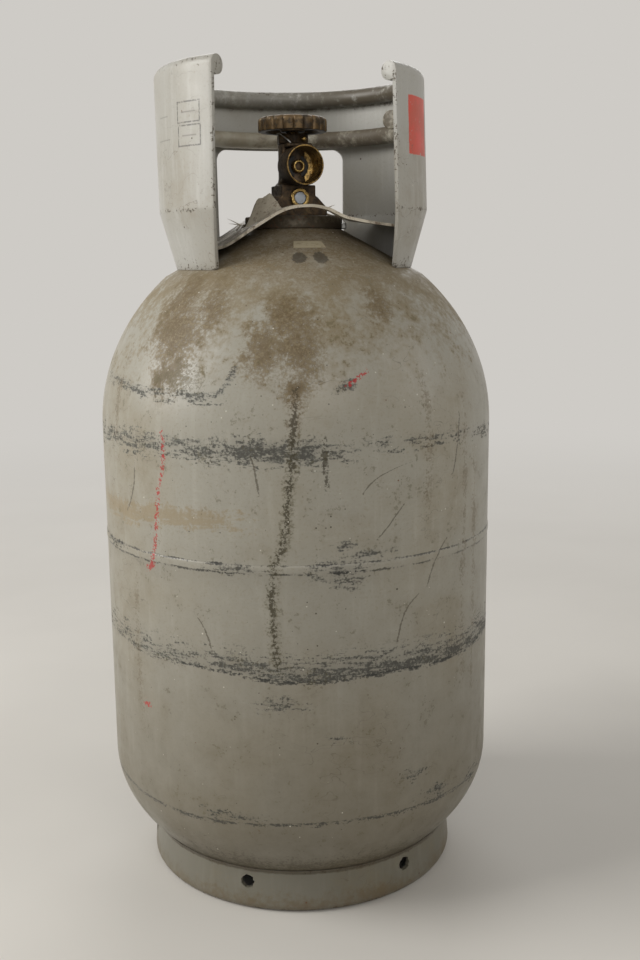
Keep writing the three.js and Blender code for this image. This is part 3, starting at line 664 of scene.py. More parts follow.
PAINT_IOR = 1.46
GREY = tone(153, 150, 139)
GREY_WARM = tone(149, 144, 130)
GREY_PALE = tone(170, 167, 157)
DIRT_BROWN = tone(94, 78, 51)
DIRT_LIGHT = tone(126, 113, 86)
DIRT_CROWN = tone(101, 84, 55)
DIRT_OLIVE = tone(88, 82, 58)
DIRT_YELLOW = tone(136, 116, 78)
# The tone of the painted shade, with some dirt, low on the vessel.
LOW_SHADE_AND_DIRT = tone(98, 91, 75)
RUB_BLACK = tone(44, 44, 41)
RUB_GREY = tone(90, 90, 84)
RUB_GREEN = tone(104, 106, 97)
DRIP_DARK = tone(54, 48, 32)
RUST = tone(98, 62, 38)
RED_PAINT = tone(166, 40, 40)
PRIMER = tone(68, 59, 44)
CHALK = tone(196, 192, 180)
PATCH_DARK = tone(56, 50, 40)
LABEL_PAPER = tone(176, 166, 140)
INK = tone(56, 54, 50)
# The tone of hand dirt and painted shade under the guard's roll.
GRIP_DIRT_AND_SHADE = tone(76, 68, 53)

# Round marks on the vessel: degrees round and millimetres up, and half the mark's width and height
STAINS = [
    (-46, 428, 42, 38), (-51, 450, 32, 24), (-44, 402, 26, 24), (-37, 444, 30, 26),
    (-17, 420, 24, 32), (-6, 416, 26, 38), (-9, 438, 38, 22), (-7, 394, 16, 20),
    (22, 446, 22, 16), (104, 424, 40, 34), (150, 432, 30, 26), (-128, 420, 36, 36),
]
OLIVE_STAIN = (-40, 398, 30, 15)
WELD_RUBS = [(-23, 271, 32, 6), (4, 268, 30, 17), (5, 286, 14, 6), (12, 280, 30, 5), (-70, 273, 40, 4)]
LOW_RUBS = [
    (26, 112, 22, 8), (34, 92, 30, 8), (-26, 90, 40, 6), (54, 88, 26, 10), (2, 150, 16, 4), (-12, 176, 30, 8),
]
RED_BLOBS = [(-51.2, 263, 6, 5), (-55.6, 158, 5, 3.5)]
DARK_PATCHES = [(-4.2, 477.5, 14, 5.2), (7.4, 477.5, 14, 5.2)]

# Lines on the vessel: degrees round and millimetres up
LONG_DRIP = [
    (-6.8, 396), (-7.7, 366), (-8.3, 340), (-9.5, 320), (-10.4, 292), (-13.1, 271), (-14, 250),
    (-13.4, 222), (-12.8, 200),
]
SHORT_DRIP = [(0.1, 358), (0.3, 342), (0.5, 325)]
FAINT_RUNS = [
    [(46, 372), (46.6, 300), (45.8, 250), (46.6, 172)], [(52, 346), (52.6, 250), (52, 150)],
    [(30, 404), (30.6, 350), (30.2, 312)], [(-66, 424), (-66.8, 380), (-66, 336)],
    [(-58, 262), (-58.6, 220), (-58, 150)], [(110, 400), (111, 330), (110, 210)],
    [(-131, 396), (-130, 300), (-131, 240)],
]
UPPER_RUB = [(-90, 350), (-54, 354), (-33, 353), (-21, 352), (-6, 351), (4, 349)]
UPPER_RUB_DARK = [(-27, 353), (-17, 352), (-8, 351), (0, 350)]
UPPER_RUB_RIGHT = [(8, 352), (30, 354), (70, 352), (120, 354), (176, 352)]
ARC_RUB = [(-80, 394), (-66, 391), (-55, 388), (-41, 387), (-28, 386.5)]
ARC_HOOK = [(-28.5, 386), (-26, 395), (-23.4, 408)]
YELLOW_BAND = [(-84, 307), (-66, 300), (-50, 303), (-24, 304)]
LOWER_EDGE = [
    (-178, 197), (-110, 200), (-67, 201), (-55, 197.5), (-41, 198), (-19, 194), (-2, 191), (15, 193),
    (39, 191), (63, 193), (120, 196), (178, 197),
]
BOTTOM_LINE = [(-178, 84), (-90, 87), (-40, 83), (0, 86), (40, 85), (90, 88), (178, 84)]
RED_DASHES = [(-45.3, 362), (-44.7, 349), (-47.1, 320), (-49.2, 280), (-51.2, 263)]
RED_SCRAPE = [(6.5, 395), (10, 399.5), (12.8, 403)]
DARK_SCRAPE = [(3.5, 391), (6, 393.5), (8.5, 397)]
SCRATCHES = [
    [(13.9, 288.8), (18, 300), (22.3, 312.2)], [(-19, 350), (-18, 340), (-17, 324)],
    [(30, 250), (33, 268), (38, 282)], [(40, 326), (42, 345), (43, 368)],
    [(-62, 300), (-58, 318), (-57, 335)], [(20, 214), (22, 232), (27, 246)],
    [(-36, 236), (-33, 226), (-31, 210)], [(10, 322), (16, 334), (26, 341)],
]

# Rectangles: left and right edges in degrees, low and high edges in millimetres
LABEL = (-7.5, 15, 484.2, 489.6)
BOXES = [(-60, -46, 569.8, 584.8), (-59.6, -45.6, 554, 569)]
DASHES = [
    (-57.4, -48.4, 576.4, 578.2), (-57, -48, 560.6, 562.4),
    (-76.5, -67.5, 575.6, 577.2), (-78.5, -66, 559.6, 561.2),
]
STICKER = (48.5, 70, 549, 590)


def grey_coat(f):
    """Grey paint in near tones, paler in streaks, and darker lower down as painted shade with some dirt."""
    colour = f.mix(f.ramp(f.big, 0.38, 0.64), GREY, GREY_WARM)
    colour = f.coat(colour, f.ramp(f.hanging, 0.5, 0.74), 0.28, GREY_PALE)
    colour = f.coat(colour, f.ramp(f.math("ADD", f.mid, f.big), 1.0, 1.34), 0.26, DIRT_LIGHT)
    colour = f.coat(colour, f.ramp(f.stipple, 0.5, 0.74), 0.26, DIRT_LIGHT)
    colour = f.coat(colour, f.ramp(f.lying, 0.56, 0.74), 0.22, GREY_PALE)
    # Darker towards the bottom: painted shade with some dirt.
    uneven = f.math("SUBTRACT", f.mid, 0.5)
    low_shade_and_dirt = f.math("MULTIPLY_ADD", uneven, 0.4, f.ramp(f.v, 366, -60), clamp=True)
    return f.coat(colour, low_shade_and_dirt, 0.95, LOW_SHADE_AND_DIRT)


def shoulder_dirt(f, colour):
    """Adds a brown film on the crown and shoulder, and stippled stains. Also returns where they are."""
    u, v = f.loose_u, f.loose_v
    film = f.cover(f.less(f.ramp(v, 372, 486), 0.7), [(f.fine, 1.6), (f.mid, 1.4)], 0.05, 0.8)
    colour = f.coat(colour, film, 0.85, f.mix(f.ramp(f.v, 440, 500), DIRT_LIGHT, DIRT_CROWN))
    flecks = f.less(f.ramp(v, 430, 480), 0.42)
    flecks = f.cover(flecks, [(f.fine, 3.6), (f.stipple, 1.8)], 0.5, 0.66)
    colour = f.coat(colour, flecks, 0.25, GREY_PALE)
    stain = f.either(*[f.spot(u, v, *place) for place in STAINS])
    stain = f.cover(stain, [(f.stipple, 2.0), (f.fine, 1.4), (f.mid, 1.4)], -0.12, 0.86)
    brown = f.mix(f.ramp(f.stipple, 0.42, 0.7), DIRT_BROWN, DIRT_LIGHT)
    colour = f.coat(colour, stain, 0.9, brown)
    olive = f.cover(f.spot(u, v, *OLIVE_STAIN), f.grain, 0.2, 0.7)
    colour = f.coat(colour, olive, 0.5, DIRT_OLIVE)
    yellow = f.trail(u, v, f.round(YELLOW_BAND), half=13, fade=30)
    yellow = f.cover(yellow, [(f.lying, 2.4), (f.stipple, 1.8)], 0.2, 0.9)
    return f.coat(colour, yellow, 0.5, DIRT_YELLOW), f.either(stain, film)


def rub_bands(f, colour):
    """Adds black grains on grey smears, and dark lines. Also returns where the rubs are."""
    u, v = f.loose_u, f.loose_v
    bands = [
        f.less(f.trail(u, v, f.round(UPPER_RUB), half=13, fade=22), 0.62),
        f.trail(u, v, f.round(UPPER_RUB_DARK), half=14, fade=16),
        f.less(f.trail(u, v, f.round(UPPER_RUB_RIGHT), half=8, fade=24), 0.4),
    ]
    bands += [f.less(f.spot(u, v, *place), 0.7) for place in WELD_RUBS]
    bands += [f.less(f.spot(u, v, *place), 0.55) for place in LOW_RUBS]
    over = f.math("SUBTRACT", f.tight_v, f.follow(f.u, f.round(LOWER_EDGE)))
    right_side = f.ramp(f.u, f.arc_mm(-50), f.arc_mm(4))
    lower = f.both(f.ramp(over, -0.8, 1.2), f.ramp(over, 27, 0))
    lower = f.both(lower, f.math("MULTIPLY_ADD", right_side, 0.42, 0.46))
    strokes = f.either(
        f.trail(f.tight_u, f.tight_v, f.round(ARC_RUB), half=6.5, fade=14),
        f.trail(f.tight_v, f.tight_u, f.down(ARC_HOOK), half=4.5, fade=5),
        f.trail(f.tight_u, f.tight_v, f.round(DARK_SCRAPE), half=6, fade=6),
    )
    masses = f.either(*bands, lower, f.less(strokes, 0.62))
    rub = f.cover(masses, [(f.stipple, 2.2), (f.lying, 4.0), (f.mid, 0.8)], 0.3, 0.96)
    greenish = f.ramp(f.u, f.arc_mm(-26), f.arc_mm(-46))
    black = f.ramp(f.math("ADD", f.stipple, f.less(masses, 0.12)), 0.44, 0.66)
    rub_tone = f.mix(black, f.mix(greenish, RUB_GREY, RUB_GREEN), RUB_BLACK)
    colour = f.coat(colour, f.ramp(masses, 0.1, 0.9), 0.22, RUB_GREY)
    colour = f.coat(colour, rub, 0.82, rub_tone)

    # Dark lines at the girth weld, at the foot of the lower band and round the knuckle
    seam = f.ramp(f.apart(f.apart(f.v, SEAM_Z), BEAD_HALF), 1.5, 0.1)
    low_line = f.ramp(f.math("ABSOLUTE", over), 2.6, 0.2)
    low_line = f.both(low_line, f.math("MULTIPLY_ADD", right_side, 0.25, 0.5))
    bottom = f.ramp(f.apart(f.tight_v, f.follow(f.u, f.round(BOTTOM_LINE))), 2.8, 0.2)
    lines = f.either(f.less(seam, 0.6), low_line, f.less(bottom, 0.6))
    lines = f.cover(lines, [(f.lying, 2.6), (f.stipple, 2.0)], 0.3, 0.8)
    return f.coat(colour, lines, 0.8, RUB_BLACK), rub


def dirt_runs(f, colour):
    """Adds runs: brown above, then a dark broken core in an olive halo, and fainter ones round the sides."""
    run_u = f.sway(f.sway(f.u, f.mid, 3.0), f.stipple, 1.2)
    long_path, short_path = f.down(LONG_DRIP), f.down(SHORT_DRIP)
    halo = f.less(f.trail(f.v, run_u, long_path, half=7, fade=9), 0.7)
    halo = f.cover(halo, f.grain, 0.0, 0.95)
    colour = f.coat(colour, halo, 0.6, f.mix(f.ramp(f.v, 372, 350), DIRT_BROWN, DIRT_OLIVE))
    drips = f.either(
        f.trail(f.v, run_u, long_path, half=3.8, fade=7), f.trail(f.v, run_u, short_path, half=3.4, fade=7),
    )
    drips = f.cover(f.less(drips, 0.62), [(f.stipple, 3.2), (f.mid, 3.0), (f.fine, 1.4)], 0.3, 0.74)
    colour = f.coat(colour, drips, 0.78, DRIP_DARK)
    runs = f.either(*[f.trail(f.v, f.tight_u, f.down(path), half=6, fade=25) for path in FAINT_RUNS])
    runs = f.cover(f.less(runs, 0.6), [(f.stipple, 2.6), (f.mid, 2.2)], 0.3, 0.85)
    return f.coat(colour, runs, 0.42, DIRT_BROWN)


def paint_damage(f, colour):
    """Adds red paint, scratches, small dirty chips and specks. Also returns the hair scratches."""
    dashes = f.trail(f.v, f.sway(f.u, f.fine, 1.2), f.down(RED_DASHES), half=2.8, fade=4)
    dashes = f.cover(f.less(dashes, 0.56), [(f.stipple, 6.0), (f.fine, 2.0)], 0.46, 0.6)
    scrape = f.trail(f.tight_u, f.tight_v, f.round(RED_SCRAPE), half=2.8, fade=2)
    scrape = f.cover(f.less(scrape, 0.66), [(f.stipple, 4.0)], 0.42, 0.58)
    blobs = f.either(*[f.spot(f.loose_u, f.loose_v, *place) for place in RED_BLOBS])
    blobs = f.cover(blobs, [(f.stipple, 3.0)], 0.42, 0.6)
    colour = f.coat(colour, f.either(dashes, scrape, blobs), 0.85, RED_PAINT)
    wander = f.sway(f.u, f.mid, 1.5)
    cuts = f.either(*[f.trail(f.v, wander, f.down(path), half=1.3, fade=5) for path in SCRATCHES])
    cuts = f.cover(f.less(cuts, 0.8), [(f.stipple, 2.0)], 0.24, 0.6)
    hairs = f.hairs(24, 2.2, (0.004, 0.0008), (0.5, 0.62))
    colour = f.coat(colour, f.either(cuts, f.less(hairs, 0.6)), 0.66, PRIMER)
    chips = f.less(f.ramp(f.mid, 0.48, 0.7), 0.46)
    chips = f.cover(chips, [(f.fine, 4.2), (f.stipple, 2.0)], 0.7, 0.86)
    colour = f.coat(colour, chips, 0.42, DIRT_OLIVE)
    colour = f.specks(colour, 120, [(0.06, 0.07, CHALK), (0.12, 0.08, PRIMER), (0.02, 0.09, RUST)])
    return f.specks(colour, 300, [(0.05, 0.14, CHALK), (0.08, 0.14, PRIMER)]), hairs


def crown_and_corner(f, colour):
    """Adds two worn dark patches and a bare label on the crown, and painted shade with grime over the foot
    ring.
    """
    patch = f.either(*[f.spot(f.u, f.v, *place) for place in DARK_PATCHES])
    colour = f.coat(colour, f.cover(patch, [(f.stipple, 0.8)], 0.1, 0.24), 0.78, PATCH_DARK)
    label = f.block(f.sway(f.u, f.fine, 0.8), f.v, *LABEL)
    paper = f.coat(LABEL_PAPER, f.ramp(f.fine, 0.5, 0.7), 0.6, DIRT_LIGHT)
    colour = f.coat(colour, label, 0.9, paper)
    # Darker low down, in the corner above the foot ring: painted shade with grime.
    corner = f.cover(f.ramp(f.loose_v, 60, 30), f.grain, 0.3, 0.9)
    return f.coat(colour, corner, 0.65, PRIMER)


def vessel_paint():
    """Grey paint with brown stains, olive runs, black rub bands and scratches."""
    f = Finish("vessel_paint")
    f.round_axis(BODY_R)
    f.fields()
    f.loose_u = f.sway(f.sway(f.u, f.mid, 9), f.fine, 5)
    f.loose_v = f.sway(f.sway(f.v, f.hanging, 7), f.lying, 4)
    f.tight_u = f.sway(f.sway(f.u, f.fine, 3.5), f.stipple, 2.0)
    f.tight_v = f.sway(f.sway(f.v, f.lying, 2.5), f.stipple, 1.5)
    f.grain = [(f.stipple, 3.4), (f.fine, 1.8), (f.mid, 1.2)]
    colour, dirty = shoulder_dirt(f, grey_coat(f))
    colour, rubbed = rub_bands(f, colour)
    colour, hairs = paint_damage(f, dirt_runs(f, colour))
    colour = crown_and_corner(f, colour)
    return f.worn_paint(colour, f.either(dirty, rubbed), 0.38, 0.64, hairs)


def sheet_paint(name, main, warm, pale):
    """Paint on sheet steel in three near tones, scuffed and dirty, before its own marks."""
    f = Finish(name)
    f.round_axis(GUARD_CREASE_R)
    f.fields()
    colour = f.mix(f.ramp(f.big, 0.36, 0.66), main, warm)
    colour = f.coat(colour, f.ramp(f.hanging, 0.5, 0.74), 0.4, pale)
    colour = f.coat(colour, f.ramp(f.math("ADD", f.mid, f.big), 1.02, 1.34), 0.22, DIRT_LIGHT)
    colour = f.coat(colour, f.ramp(f.stipple, 0.54, 0.76), 0.26, DIRT_LIGHT)
    return f, colour


def worn_sheet(f, colour, edge):
    """Chips a sheet's paint along its edges, adds scratches and specks, and sets its surface."""
    chips = f.cover(edge, [(f.stipple, 2.6), (f.fine, 2.0), (f.mid, 1.4)], 0.62, 0.82)
    bare = f.mix(f.ramp(f.grit, 0.4, 0.6), tone(82, 70, 54), tone(56, 48, 38))
    colour = f.coat(colour, chips, 0.85, bare)
    hairs = f.hairs(34, 1.5, (0.0045, 0.001), (0.48, 0.6))
    colour = f.coat(colour, hairs, 0.45, tone(88, 80, 66))
    colour = f.specks(colour, 140, [(0.06, 0.09, CHALK), (0.14, 0.09, PRIMER), (0.02, 0.1, RUST)])
    return f.worn_paint(colour, chips, 0.4, 0.62, hairs)


def outer_face(f):
    """1 on the faces that look away from the vessel's axis."""
    facing = f.node("ShaderNodeNewGeometry").outputs["Normal"]
    facing_x, facing_y, _ = f.node("ShaderNodeSeparateXYZ", {0: facing}).outputs
    outward = f.math("MULTIPLY_ADD", facing_x, f.x, f.math("MULTIPLY", facing_y, f.y))
    return f.ramp(outward, 0.0, 0.01)


def guard_marks(f, colour):
    """Adds two empty printed boxes, plain dashes and a plain red sticker, on the outer face."""
    wide, tall, soft = 0.7, 1.1, 0.2
    lines = []
    for left, right, low, high in BOXES:
        whole = f.block(f.u, f.v, left, right, low, high, soft)
        middle = f.block(f.u, f.v, left + wide, right - wide, low + tall, high - tall, soft)
        lines.append(f.math("SUBTRACT", whole, middle, clamp=True))
    ink = f.both(f.either(*lines), f.ramp(f.math("ADD", f.fine, f.grit), 0.78, 1.06))
    dashes = f.either(*[f.block(f.u, f.v, *dash, 0.9) for dash in DASHES])
    outside = outer_face(f)
    colour = f.coat(colour, f.both(f.either(ink, f.less(dashes, 0.6)), outside), 0.7, INK)
    sticker = f.block(f.sway(f.u, f.fine, 0.9), f.sway(f.v, f.fine, -0.9), *STICKER)
    sticker = f.both(f.both(sticker, outside), f.ramp(f.fine, 0.74, 0.62))
    return f.mix(sticker, colour, f.mix(f.ramp(f.mid, 0.4, 0.66), tone(206, 62, 42), tone(188, 78, 58)))


def guard_paint():
    """The guard's paint, with its marks, dark hand dirt and painted shade under the roll at the back, darker
    towards the right, and worn edges.
    """
    f, colour = sheet_paint("guard_paint", tone(169, 168, 162), tone(160, 157, 148), tone(182, 181, 176))
    colour = guard_marks(f, colour)
    square = f.math("MULTIPLY_ADD", f.x, f.x, f.math("MULTIPLY", f.y, f.y))
    out = f.math("MULTIPLY", f.math("SQRT", square), 1 / MM)
    behind = f.ramp(f.math("ABSOLUTE", f.u), f.arc_mm(70), f.arc_mm(110))
    grip = f.both(f.ramp(out, GUARD_TOP_R - 1, GUARD_TOP_R - 5), f.ramp(f.v, 594, 598))
    hands_and_shade = f.cover(f.less(f.both(grip, behind), 0.8), [(f.fine, 1.8), (f.mid, 1.8)], 0.15, 0.85)
    # The grip is hand dirt and painted shade; the ramp along x is painted shade that darkens it towards the
    # right.
    shade = f.math("MULTIPLY_ADD", f.ramp(f.x, -0.04, 0.07), 0.5, 0.45)
    colour = f.mix(f.both(hands_and_shade, shade), colour, GRIP_DIRT_AND_SHADE)
    front = f.math("SUBTRACT", f.math("ABSOLUTE", f.u), f.arc_mm(OPENING))
    edge = f.either(
        f.less(f.ramp(front, 3.2, 0.0), 0.45),
        f.less(f.ramp(f.v, GUARD_TOP_Z - 7, GUARD_TOP_Z + 2), 0.44),
        f.less(f.ramp(f.apart(f.v, GUARD_CREASE_Z), 3.0, 0.0), 0.42),
        f.less(f.ramp(f.v, 482, 470), 0.5),
    )
    return worn_sheet(f, colour, edge)


def foot_paint():
    """The foot ring's paint, in tones darkened as painted shade: darker and browner near the floor as painted
    shade with dirt, and dark along its weld.
    """
    # The foot's three tones are darkened as painted shade.
    f, colour = sheet_paint("foot_paint", tone(112, 109, 98), tone(104, 100, 87), tone(124, 121, 111))
    # Darker and browner near the floor: painted shade with dirt.
    film = f.cover(f.less(f.ramp(f.v, 26, 2), 0.7), [(f.fine, 1.2), (f.mid, 1.0)], 0.2, 0.9)
    colour = f.coat(colour, film, 0.6, DIRT_BROWN)
    weld = f.cover(f.ramp(f.v, 29, 32), [(f.mid, 1.2), (f.fine, 0.8)], 0.2, 0.8)
    colour = f.coat(colour, weld, 0.7, PRIMER)
    edge = f.either(f.less(f.ramp(f.v, 6, 0.0), 0.7), f.less(f.ramp(f.v, 28, 32), 0.4))
    return worn_sheet(f, colour, edge)


def bar_paint():
    """Paint on the round bar, rubbed dark and brown by hands in patches, and darkened towards the right as
    painted shade.
    """
    f = Finish("bar_paint")
    f.fields()
    colour = f.mix(f.ramp(f.mid, 0.35, 0.65), tone(176, 171, 156), tone(148, 140, 122))
    # The noise patches are hand wear; the ramp along x is painted shade that darkens the bar towards the
    # right.
    handled_and_shaded = f.either(f.less(f.ramp(f.big, 0.36, 0.62), 0.6), f.ramp(f.x, -0.04, 0.04))
    worn_and_shaded = f.cover(f.less(handled_and_shaded, 0.8), [(f.fine, 1.2), (f.mid, 1.4)], 0.3, 0.9)
    colour = f.coat(colour, worn_and_shaded, 0.85, tone(74, 64, 49))
    colour = f.specks(colour, 140, [(0.1, 0.12, PRIMER), (0.04, 0.1, CHALK)])
    skin = f.math("SUBTRACT", f.math("MULTIPLY", f.grit, 0.2), worn_and_shaded)
    return f.painted(colour, f.level(worn_and_shaded, 0.42, 0.6), f.bump(skin, 0.0003, 0.4))


def plate_steel(name, light, dark, least_grime_and_shade):
    """Grimy tan paint over steel, darker low down with grime and painted shade under the plate, with rust and
    with bare metal high up, along a tear.
    """
    f = Finish(name)
    f.fields()
    height = f.math("MULTIPLY", f.z, 1 / MM)
    colour = f.mix(f.ramp(f.mid, 0.36, 0.64), light, dark)
    # Darker below 509 mm: grime and painted shade under the plate, over a floor that each copy sets.
    low_grime_and_shade = f.math("MULTIPLY_ADD", f.ramp(height, 509, 496), 0.6, least_grime_and_shade)
    grime_and_shade = f.cover(low_grime_and_shade, [(f.fine, 1.8), (f.mid, 1.6)], 0.25, 0.85)
    colour = f.coat(colour, grime_and_shade, 0.75, tone(58, 50, 37))
    rust = f.less(f.ramp(f.big, 0.4, 0.6), 0.42)
    rust = f.cover(rust, [(f.stipple, 2.6), (f.fine, 2.0)], 0.5, 0.9)
    colour = f.coat(colour, rust, 0.5, RUST)
    bare = f.cover(f.less(f.ramp(height, 512, 524), 0.6), [(f.fine, 2.6)], 0.45, 0.8)
    colour = f.coat(colour, bare, 0.6, tone(168, 160, 142))
    skin = f.math("ADD", f.math("MULTIPLY", f.fine, 0.5), f.math("MULTIPLY", grime_and_shade, 0.5))
    return f.finish(colour, f.level(grime_and_shade, 0.45, 0.75), f.less(bare, 0.4), f.bump(skin, 0.0004, 0.6))


def brass(name, dark, light, grime_and_shade_share, rough_low, rough_high, scale, metal):
    """Brass under grease: dark in greasy patches and, as painted shade, on faces that look down, and lighter
    in blotches.
    """
    f = Finish(name)
    blotch = f.noise(scale, 5, 0.65)
    fine = f.noise(scale * 8, 3, 0.65)
    colour = f.mix(f.ramp(blotch, 0.34, 0.68), dark, light)
    greasy = f.math("MULTIPLY_ADD", fine, 0.5, f.noise(scale * 2.6, 5, 0.72))
    facing = f.node("ShaderNodeNewGeometry").outputs["Normal"]
    # Faces that look down are darkened as painted shade, together with the greasy patches.
    under = f.ramp(f.node("ShaderNodeSeparateXYZ", {0: facing}).outputs[2], -0.2, -0.7)
    grime_and_shade = f.less(f.either(f.ramp(greasy, 0.68, 0.92), under), grime_and_shade_share)
    colour = f.mix(grime_and_shade, colour, tone(34, 27, 18))
    green = f.ramp(f.math("ADD", blotch, fine), 1.14, 1.34)
    colour = f.coat(colour, green, grime_and_shade_share * 0.5, tone(74, 78, 56))
    skin = f.math("MULTIPLY_ADD", fine, 0.5, f.math("MULTIPLY", grime_and_shade, 0.5))
    rough = f.level(grime_and_shade, rough_low, rough_high)
    return f.finish(colour, rough, f.level(grime_and_shade, metal, metal * 0.5), f.bump(skin, 0.0003, 0.5))


def plain_metal(name, light, dark, rough_low, rough_high):
    """Plated steel with dull patches and a fine grain."""
    f = Finish(name)
    blotch = f.noise(160, 5, 0.6)
    colour = f.mix(f.ramp(blotch, 0.4, 0.65), light, dark)
    rough = f.level(f.ramp(blotch, 0.35, 0.7), rough_low, rough_high)
    return f.finish(colour, rough, 1.0, f.bump(f.noise(1600, 3, 0.6), 0.0002, 0.3))


def rubber():
    """Black rubber with dust in its grain."""
    f = Finish("black_rubber")
    dust = f.ramp(f.noise(300, 5, 0.7), 0.5, 0.7)
    colour = f.coat(tone(26, 25, 24), dust, 0.5, tone(74, 70, 62))
    return f.finish(colour, f.level(dust, 0.55, 0.85), 0.0, f.bump(f.noise(1400, 3, 0.6), 0.0002, 0.4))


def plastic():
    """Pale plastic with dirt in its grain."""
    f = Finish("pale_plastic")
    dirt = f.ramp(f.noise(420, 5, 0.7), 0.5, 0.68)
    colour = f.coat(tone(196, 204, 214), dirt, 0.55, tone(120, 116, 104))
    return f.finish(colour, f.level(dirt, 0.35, 0.7), 0.0, f.bump(f.noise(900, 3, 0.6), 0.0002, 0.3))


# Vessel

def crown_z(r):
    return CREASE_Z + (CREASE_R - r) * CROWN_SLOPE


def shell_arc(end_r, start_z, end_z, sweep, wall, steps):
    """Part of an ellipse from the vessel's straight side to a radius and a height, or its inner face."""
    a = (BODY_R - end_r) / (1 - math.cos(sweep))
    b = (end_z - start_z) / math.sin(sweep)
    reach = math.copysign(sweep, b)
    return arc((BODY_R - a, start_z), (a - wall, abs(b) - wall), 0, reach, steps)


def dish(start, wall):
    """The bottom of the vessel, curving in from the knuckle to its flat middle."""
    flat = Vector((DISH_FLAT_R - wall / 2, DISH_Z + wall))
    middle = Vector((0, DISH_Z + wall))
    return bend(Vector(start), flat, middle, 10)


def lower_shell():
    outer = shell_arc(KNUCKLE_END_R, KNUCKLE_Z, KNUCKLE_END_Z, KNUCKLE_SWEEP, 0, 22)
    inner = shell_arc(KNUCKLE_END_R, KNUCKLE_Z, KNUCKLE_END_Z, KNUCKLE_SWEEP, WALL, 10)
    bead = arc((BODY_R, SEAM_Z), (BEAD_PROUD, BEAD_HALF), -QUARTER, QUARTER, 6)
    side = leg((BODY_R, KNUCKLE_Z), (BODY_R, SEAM_Z - BEAD_HALF), 20)[1:-1]
    section = dish(outer[-1], 0)[::-1][:-1] + outer[::-1] + side + bead
    section += [(BODY_R - WALL, SEAM_Z + BEAD_HALF)] + inner + dish(inner[-1], WALL)[1:]
    return turned(section, VESSEL_STEPS)


def upper_shell():
    seam_gap, edge_depth = 0.05, 3
    start_z = SEAM_Z + BEAD_HALF + seam_gap
    outer = shell_arc(CREASE_R, SHOULDER_Z, CREASE_Z, SHOULDER_SWEEP, 0, 36)
    inner = shell_arc(CREASE_R, SHOULDER_Z, CREASE_Z, SHOULDER_SWEEP, WALL, 14)
    hole_z = crown_z(NECK_HOLE_R)
    section = leg((BODY_R, start_z), outer[0], 20)[:-1] + outer
    section += leg(outer[-1], (NECK_HOLE_R, hole_z), 8)[1:]
    section += [(NECK_HOLE_R, hole_z - edge_depth)] + inner[::-1] + [(BODY_R - WALL, start_z)]
    return turned(section, VESSEL_STEPS)


def foot_ring():
    """A rolled band turned in under itself, with drain holes and a weld fillet on top."""
    curl_r = FOOT_R - FOOT_CURL_R
    inner = FOOT_CURL_R - FOOT_WALL
    lip_r = curl_r - FOOT_LIP
    inner_top = (FOOT_TOP_R - FOOT_WALL, FOOT_HEIGHT - FOOT_INNER_DROP)
    section = leg((lip_r, 0), (curl_r, 0), 4)[:-1]
    section += arc((curl_r, FOOT_CURL_R), (FOOT_CURL_R,) * 2, -QUARTER, 0, 8)
    section += leg((FOOT_R, FOOT_CURL_R), (FOOT_TOP_R, FOOT_HEIGHT), FOOT_STEP)[1:-1]
    section += [(FOOT_TOP_R + out, FOOT_HEIGHT + up) for out, up in FOOT_FILLET]
    section += [(KNUCKLE_END_R, KNUCKLE_END_Z - CLEARANCE)]
    section += leg(inner_top, (FOOT_R - FOOT_WALL, FOOT_CURL_R), FOOT_STEP)[:-1]
    section += arc((curl_r, FOOT_CURL_R), (inner,) * 2, 0, -QUARTER, 5)
    section += [(lip_r, FOOT_WALL)]
    bm = turned(section, 216)
    hole = arc((0, 0), (DRAIN_R, DRAIN_R), 0, math.tau, 24)[:-1]
    for i in range(DRAIN_COUNT):
        degrees = DRAIN_FIRST + i * 360 / DRAIN_COUNT
        out = polar_point(1, degrees, 0).normalized()
        right = Vector((-out.y, out.x, 0))
        punch(bm, polar_point(FOOT_TOP_R, degrees, DRAIN_Z), right, UP, hole, 5 * MM)
    return bm


def neck_ring():
    inner_r, seat_gap = 30, 0.6
    section = [
        (STEM_R + CLEARANCE, NECK_LOW_Z), (inner_r, NECK_LOW_Z), (inner_r, crown_z(inner_r) + seat_gap),
        (NECK_R, crown_z(NECK_R) + seat_gap), (NECK_R, NECK_TOP_Z), (STEM_R + CLEARANCE, NECK_TOP_Z),
    ]
    return turned(eased(section, 1.6), 96)


# Guard

def wall_r(z):
    """Outside radius of the guard's wall at a height."""
    base_z = crown_z(GUARD_BASE_R)
    roll_z = GUARD_TOP_Z - ROLL_R
    return read_table([(base_z, GUARD_BASE_R), (GUARD_CREASE_Z, GUARD_CREASE_R), (roll_z, GUARD_TOP_R)], z)


def sheet_fold(before, corner, after, reach):
    """A sheet's fold as a short curve, without its straight ends."""
    point = Vector(corner)
    start = point + (Vector(before) - point).normalized() * reach
    end = point + (Vector(after) - point).normalized() * reach
    return bend(start, point, end, 4)


def window_outline():
    """The hand window with rounded corners, seen from behind."""
    half = WINDOW_HALF - WINDOW_CORNER_R
    low, high = WINDOW_LOW_Z + WINDOW_CORNER_R, WINDOW_HIGH_Z - WINDOW_CORNER_R
    outline = []
    for i, middle in enumerate([(half, high), (-half, high), (-half, low), (half, low)]):
        outline += arc(middle, (WINDOW_CORNER_R,) * 2, i * QUARTER, (i + 1) * QUARTER, 7)
    return outline


